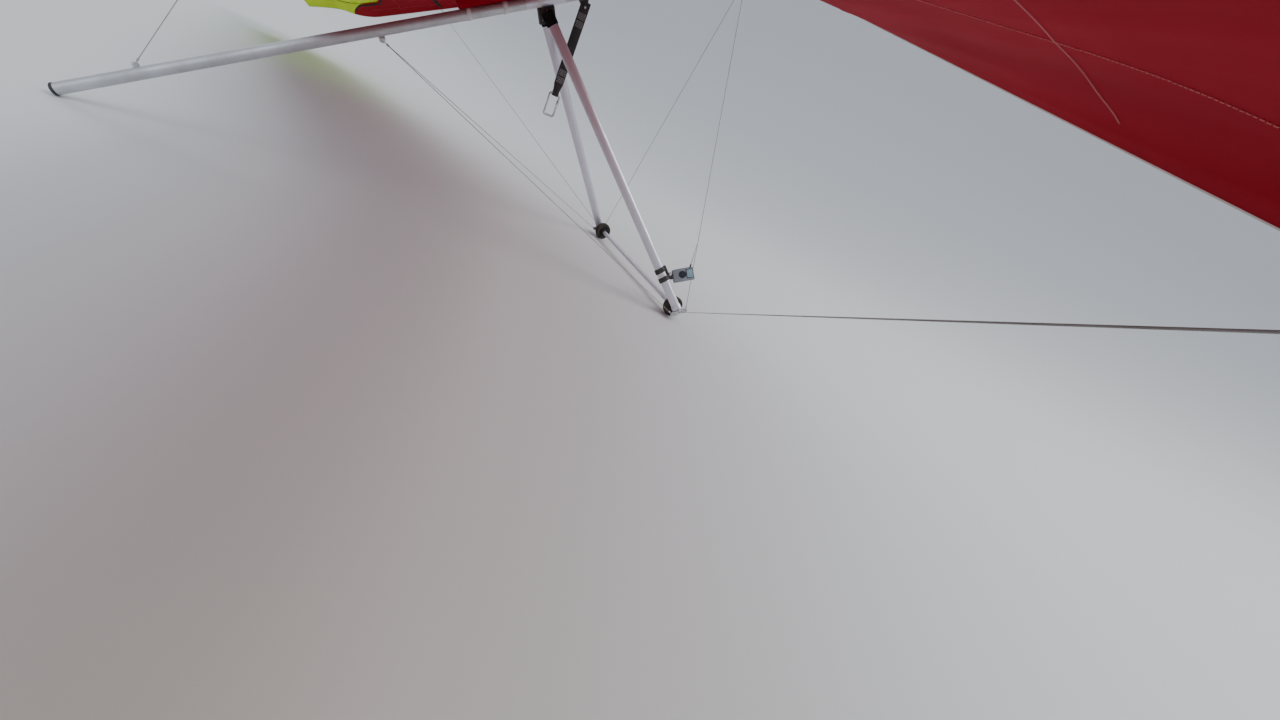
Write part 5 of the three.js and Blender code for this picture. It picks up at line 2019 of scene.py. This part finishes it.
for node_name, start, start_axis, start_gap, end, end_axis, end_gap in WIRES:
    a, b = np.array(start), np.array(end)
    along = (b - a) / np.linalg.norm(b - a)
    first = a + along * (EYE_RADIUS if start_axis else 0.0)
    last = b - along * (EYE_RADIUS if end_axis else 0.0)
    stay = swept(
        f"{node_name}_cable", straight(first, last, 3), circle(WIRE_RADIUS, 12), (0, 0.2, 1), cable
    )
    settle(stay, "rigging_wire", node_name)
    ends = ((a, start_axis, start_gap, along), (b, end_axis, end_gap, -along))
    for point, axis, gap, inward in ends:
        if axis is not None:
            eye_points.append(point)
            eye_axes.append(axis)
            sleeve_start = point + inward * max(gap - SLEEVE_BACK, SLEEVE_LEAST_GAP)
            sleeve_parts.append(sleeve_on(sleeve_start, inward, len(sleeve_parts)))
settle(joined("cable_sleeves", sleeve_parts), "steel_fittings")

eyes = run_tree(
    "cable_eyes", eye_tree, aimed_points("cable_eyes", eye_points, eye_axes),
    Eye_radius=EYE_RADIUS, Strand_radius=EYE_STRAND, Material=steel,
)
settle(eyes, "steel_fittings")

# %% [markdown]
# ## Hang loop, strap and carabiner
# The load hangs from a band of webbing round the keel. A second strap swings under it
# on a bolt and carries a carabiner in its lower eye. Webbing is a flat ribbon, so it is
# a thin section carried along the path that the real strap follows, layer by layer. The
# strap hangs plumb in the parked glider, so its points are given straight down.

# %% The hang loop
STRAP_X, STRAP_WIDTH, STRAP_PIVOT_Z, STRAP_LENGTH = 0.200, 0.050, -0.056, 0.405
CHEEK_Y, BAND_RADIUS, WEB_THICKNESS = 0.0068, 0.0262, 0.0034
CHEEK_TOP_Z, CHEEK_END_Z, CHEEK_NARROWER, CHEEK_LEAST = -0.026, -0.0735, 0.012, 0.45
CHEEK_TAPER, CHEEK_ROUND = 0.008, 0.014


def loop_path():
    """Up one cheek, over the keel and down the other, as points across the glider."""
    start = math.asin(CHEEK_Y / BAND_RADIUS)
    turns = np.linspace(-math.pi / 2 + start, 1.5 * math.pi - start, 44)
    over = [(BAND_RADIUS * math.cos(a), BAND_RADIUS * math.sin(a)) for a in turns]
    first, last = over[0], over[-1]
    down = np.linspace(CHEEK_END_Z, first[1], 10, endpoint=False)
    return [(first[0], z) for z in down] + over + [(last[0], z) for z in reversed(down)]


def cheek_width(z):
    """The full width round the keel, narrower and rounded at the cheeks' lower end."""
    width = STRAP_WIDTH - CHEEK_NARROWER * ramp(-z, -CHEEK_TOP_Z, CHEEK_TAPER)
    low = ramp(z, CHEEK_END_Z, CHEEK_ROUND)
    return width * (CHEEK_LEAST + (1 - CHEEK_LEAST) * math.sqrt(1 - (1 - low) ** 2))


loop_points = loop_path()
loop = swept(
    "hang_loop_webbing", [(STRAP_X, y, z) for y, z in loop_points],
    [band_section(cheek_width(z), WEB_THICKNESS) for _, z in loop_points], ALONG_KEEL, webbing,
)
settle(loop, "black_webbing", "hang_loop")
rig.sheet(loop, flat=(0.050, 0.245), held="stretched", rests_on=[keel], area=0.0120)

# %% The strap, which hangs plumb under its pivot
PIVOT = park((STRAP_X, 0, STRAP_PIVOT_Z))
LAYER_Y, LAYER_THICKNESS, STRAP_TOP_Z = 0.0021, 0.0032, 0.0205
EYE_REACH, EYE_WIDTH, EYE_TOP, EYE_TANGENT = 0.0087, 0.032, 0.062, 0.004
WIDENING_FROM, WIDENING_LENGTH = 0.018, 0.037


def plumb(points):
    """Carries points given from the pivot, with z straight up, to the parked glider."""
    return np.asarray(points, float) + PIVOT


def smooth(t):
    return 3 * t ** 2 - 2 * t ** 3


def strap_path():
    """One turn of webbing: down the port side, round the eye and up again."""
    port = [(LAYER_Y, z) for z in np.linspace(STRAP_TOP_Z, EYE_TOP - STRAP_LENGTH, 26)]
    for t in (0.25, 0.5, 0.75):
        y = LAYER_Y + (EYE_REACH - LAYER_Y) * smooth(t)
        port.append((y, -STRAP_LENGTH + EYE_TOP + (EYE_TANGENT - EYE_TOP) * t))
    round_eye = [
        (EYE_REACH * math.cos(a), -STRAP_LENGTH - EYE_REACH * math.sin(a))
        for a in np.linspace(0, math.pi, 15)
    ]
    starboard = [(-y, z) for y, z in reversed(port)]
    top = [
        (-LAYER_Y * math.cos(a), STRAP_TOP_Z + LAYER_Y * math.sin(a))
        for a in np.linspace(0, math.pi, 7)[1:-1]
    ]
    return port + round_eye + starboard + top


def strap_width(z):
    share = ramp(z, WIDENING_FROM - STRAP_LENGTH, WIDENING_LENGTH)
    return EYE_WIDTH + (STRAP_WIDTH - EYE_WIDTH) * smooth(share)


strap_points = strap_path()
strap = swept(
    "strap_webbing", [(0, y, z) for y, z in strap_points],
    [band_section(strap_width(z), LAYER_THICKNESS) for _, z in strap_points], ALONG_KEEL, webbing,
    closed=True, place=plumb,
)
settle(strap, "black_webbing", "hang_strap", body="strap")
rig.sheet(strap, flat=(0.050, 0.90), held="hung", rests_on=[loop], area=0.043)

# %% The carabiner
RING_BAR, RING_FLAT = 0.0055, 0.0035
RING_HALF_WIDTH, RING_LENGTH, RING_CORNER = 0.034, 0.118, 0.015
BARREL = symmetric([(0.0, 0.021), (0.0060, 0.021), (0.0070, 0.0195)], closed=False)
BARREL_DROP, GRIP_RIBS, GRIP_SIZE = 0.046, 20, (0.0010, 0.0010, 0.034)


def rounded_rectangle(half_width, half_height, radius, steps):
    """The outline of a rectangle with round corners, as pairs from its middle."""
    x, y = half_width - radius, half_height - radius
    return [
        (a + radius * math.cos(t), b + radius * math.sin(t))
        for quarter, (a, b) in enumerate([(x, y), (-x, y), (-x, -y), (x, -y)])
        for t in np.linspace(quarter * math.pi / 2, (quarter + 1) * math.pi / 2, steps)
    ]


half_length = RING_LENGTH / 2 - RING_BAR
outline = rounded_rectangle(RING_HALF_WIDTH - RING_BAR, half_length, RING_CORNER - RING_BAR, 9)
ring_path_points = [(x, 0.0, z - STRAP_LENGTH - half_length) for x, z in outline]
ring_section = [(RING_BAR * a, RING_FLAT * b) for a, b in circle(1.0, 20)]
ring = swept("ring", ring_path_points, ring_section, UPRIGHT, steel, closed=True, place=plumb)
barrel_at = (RING_HALF_WIDTH - RING_BAR, 0, -STRAP_LENGTH - BARREL_DROP)
barrel = turned("barrel", BARREL, barrel_at, UPRIGHT, bright_steel, 40, place=plumb)
grip = ribs("grip", GRIP_RIBS, 0.0070, GRIP_SIZE, barrel_at, UPRIGHT, bright_steel, plumb)
whole = joined("carabiner_ring", [ring, barrel, grip])
settle(whole, "steel_fittings", "carabiner", body="strap")

# %% Bartacks: short dense rows of stitching where the webbing is sewn to itself
BARTACKS_Z = (-0.040, -0.075, -0.300, -0.335)
TACK_HALF_WIDTH, TACK_FACE_Y, TACK_STEPS = 0.019, 0.0040, np.linspace(-0.012, 0.012, 5)
tack_rows = []
for face in (1, -1):
    for z in BARTACKS_Z:
        for step in TACK_STEPS:
            ends = [(x, face * TACK_FACE_Y, z + step) for x in (-TACK_HALF_WIDTH, TACK_HALF_WIDTH)]
            tack_rows.append((plumb(ends), [(0, face, 0)] * 2))
tacks = stitches("strap_stitches", tack_rows, white_thread, *TACK)
settle(tacks, "black_webbing", body="strap")

# %% [markdown]
# ## The instrument
# A small flight computer sits on the starboard downtube, on an arm between two clamp
# bands. Its case is a box with large round corners, a pale display, a dark round
# speaker, and a thin tapered probe that senses the airspeed.

# %% The instrument's own directions
CASE_CENTRE = np.array((0.490, -0.560, -1.366))
CASE_LENGTH, CASE_WIDTH, CASE_THICKNESS, CASE_BEVEL = 0.128, 0.076, 0.027, 0.0085
CASE_NORMAL = Vector((-0.15, -0.75, 0.64)).normalized()
LENGTHWISE = Vector((1, -0.1, -0.06))


def case_axes():
    length = (LENGTHWISE - CASE_NORMAL * LENGTHWISE.dot(CASE_NORMAL)).normalized()
    return length, CASE_NORMAL.cross(length), CASE_NORMAL


CASE_AXES = case_axes()


def on_case(*offsets):
    """A point from the middle of the case, along its length, width and thickness."""
    steps = [np.array(axis) * offset for axis, offset in zip(CASE_AXES, offsets)]
    return CASE_CENTRE + steps[0] + steps[1] + steps[2]


def case_block(name, size, at, bevel, material, segments=3):
    return rounded_box(name, size, on_case(*at), CASE_AXES, bevel, material, segments)


print("case at", CASE_CENTRE)

# %% The case and what is on it
DISC = [(0.0, 0.0), (0.0200, 0.0), (0.0215, 0.0008), (0.0220, 0.0022), (0.0, 0.0022)]
DISC_AT = (-0.007, 0, 0.0128)
SEAM_Z, SEAM_RADIUS = -0.002, 0.0009
# piece, size, place on the case, bevel, material
CASE_BLOCKS = [
    ("bezel", (0.042, 0.056, 0.0030), (0.036, 0.0, 0.0130), 0.0012, black_plastic),
    ("window", (0.034, 0.047, 0.0030), (0.036, 0.0, 0.0137), 0.0008, display),
    ("grip", (0.096, 0.0040, 0.012), (0.004, 0.0370, 0.001), 0.0012, black_plastic),
]
case_size = (CASE_LENGTH, CASE_WIDTH, CASE_THICKNESS)
body = case_block("case", case_size, (0, 0, 0), CASE_BEVEL, grey_case, 5)
outline = rounded_rectangle(CASE_LENGTH / 2, CASE_WIDTH / 2, CASE_BEVEL, 7)
seam_path = [on_case(x, y, SEAM_Z) for x, y in outline]
seam = swept("seam", seam_path, circle(SEAM_RADIUS, 8), CASE_NORMAL, black_plastic, closed=True)
blocks = [case_block(*row) for row in CASE_BLOCKS]
disc = turned("disc", DISC, on_case(*DISC_AT), CASE_NORMAL, disc_plastic, 48)
settle(joined("instrument_body", [body, seam, *blocks, disc]), "grey_case", "instrument_case")

# %% Clamp, knob, arm and probe
KNOB_ALONG, KNOB_FORWARD, KNOB_RADIUS = 1.430, 0.0458, 0.009
KNOB = [
    (0.0, -0.0074), (0.0076, -0.0074), (KNOB_RADIUS, -0.0060), (KNOB_RADIUS, 0.0060),
    (0.0076, 0.0074), (0.0, 0.0078),
]
KNURL_COUNT, KNURL_SIZE = 24, (0.0012, 0.0012, 0.0110)
ARM_RADIUS, BOSS_X, BOSS_SIZE = 0.006, -0.0723, (0.016, 0.028, 0.024)
PROBE_FROM, PROBE_TO = (0.540, -0.556, -1.318), (0.579, -0.560, -1.177)
PROBE_SCALES = [1.25, 1.2, 1.0, 0.8, 0.62, 0.55]
PROBE_RADIUS, PROBE_SOCKET_RADIUS = 0.0025, 0.0046
PROBE_SOCKET_AT, PROBE_SOCKET_REACH = (0.044, 0.030, 0.002), (0.0019, -0.0002, 0.0068)

post_top, post_foot = post_point(-1, 0.0), post_point(-1, POST_LENGTH)
post_along = (post_foot - post_top) / POST_LENGTH
post_forward = np.array(ALONG_KEEL) - post_along * post_along[0]
post_forward /= np.linalg.norm(post_forward)
knob_at = post_top + post_forward * KNOB_FORWARD + post_along * KNOB_ALONG

clamp = rounded_copy("instrument_bands", "instrument_clamp", 0.0016, black_plastic)
settle(clamp, "black_plastic", "instrument_clamp")

knob = turned("knob", KNOB, knob_at, post_forward, bright_steel, 40)
knurl = ribs("knurl", KNURL_COUNT, KNOB_RADIUS, KNURL_SIZE, knob_at, post_forward, bright_steel)
arm_path = straight(knob_at, on_case(BOSS_X, 0, 0), 4)
arm = swept("arm", arm_path, circle(ARM_RADIUS, 24), UPRIGHT, black_plastic)
boss = case_block("boss", BOSS_SIZE, (BOSS_X, 0, 0), 0.003, black_plastic)
mount = joined("instrument_mount", [arm, knob, knurl, boss])
settle(mount, "black_plastic", "instrument_arm")

socket_end = np.array(PROBE_FROM) + PROBE_SOCKET_REACH
socket_path = straight(on_case(*PROBE_SOCKET_AT), socket_end, 6)
socket = swept(
    "probe_socket", socket_path, circle(PROBE_SOCKET_RADIUS, 24), ALONG_KEEL, black_plastic
)
settle(socket, "black_plastic")
probe = swept(
    "probe", straight(PROBE_FROM, PROBE_TO, len(PROBE_SCALES)), circle(PROBE_RADIUS, 20),
    ALONG_KEEL, probe_plastic, PROBE_SCALES, sharp=60,
)
settle(probe, "white_probe", "speed_probe")

# %% [markdown]
# ## Bolts and pins
# Last come the fasteners. Two tables give the places of the bolts on the port side,
# and the node tree sets the same hexagon on a washer at every place and its mirror.

# %% The tables of bolts
HEAD_SIZE = 0.0042
HALF_TANG = TANG_THICKNESS / 2
OUTER_TANG_Y = TANG_Y + HALF_TANG
SIDE_BOLTS = [
    (0.026, 0.016, -0.076), (-0.026, 0.016, -0.076), (0.0, 0.016, -0.040),
    (0.083, 0.017, 0.040), (0.041, 0.017, 0.040),
    (NOSE_TANG_X, HALF_TANG, NOSE_HOOK[2]),
    (REAR_TANG_X, HALF_TANG, REAR_HOOK[2]),
    (UPPER_REAR_X, HALF_TANG, UPPER_REAR_HOOK[2]),
    corner_at(OUTER_TANG_Y, 1, HOOK_REACH), corner_at(OUTER_TANG_Y, 1, -HOOK_REACH),
    corner_at(OUTER_TANG_Y, 1, 0.018),
    (STRAP_X, 0.0086, STRAP_PIVOT_Z),
]
NOSE_BOLTS = [(1.136, 0.085, -0.046), (1.090, 0.050, -0.046)]
places, aims = [], []
for _, side in SIDES:
    places += [(x, side * y, z) for x, y, z in SIDE_BOLTS + NOSE_BOLTS]
    aims += [(0, side, 0)] * len(SIDE_BOLTS) + [(0, 0, -1)] * len(NOSE_BOLTS)
heads = run_tree(
    "frame_bolts", bolt_tree, aimed_points("frame_bolts", places, aims),
    Size=HEAD_SIZE, Material=steel,
)
settle(heads, "steel_fittings")

# %% Quick pins through the feet of the downtubes
PIN_RADIUS, PIN_HALF, BUTTON_RADIUS = 0.0045, 0.020, 0.0075
PIN_LEAN, PIN_UP, PIN_FORWARD = 0.3, 0.014, (0.010, 0, 0)
SHAFT = eased(symmetric([(0.0, PIN_HALF), (PIN_RADIUS, PIN_HALF)], closed=False), 0.001)
BUTTON = [
    (0.0, PIN_HALF - 0.001), (BUTTON_RADIUS, PIN_HALF - 0.001), (BUTTON_RADIUS, PIN_HALF + 0.002),
    (0.0, PIN_HALF + 0.003),
]
pins = []
for label, side in SIDES:
    middle = post_point(side, POST_LENGTH - PIN_UP) + PIN_FORWARD
    for name, profile, axis in (
        ("pin", SHAFT, (0, 1, PIN_LEAN * side)), ("button", BUTTON, (0, side, PIN_LEAN))
    ):
        pins.append(turned(f"{name}_{label}", profile, middle, axis, bright_steel, 24))
settle(joined("quick_pins", pins), "steel_fittings")

# %% Close the lesson
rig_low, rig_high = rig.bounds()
sizes = {"cad": [list(cad_low), list(cad_high)], "visual": [list(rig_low), list(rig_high)]}
json.dump(sizes, open("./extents.json", "w"))
print("total triangles", sum(made_triangles.values()))
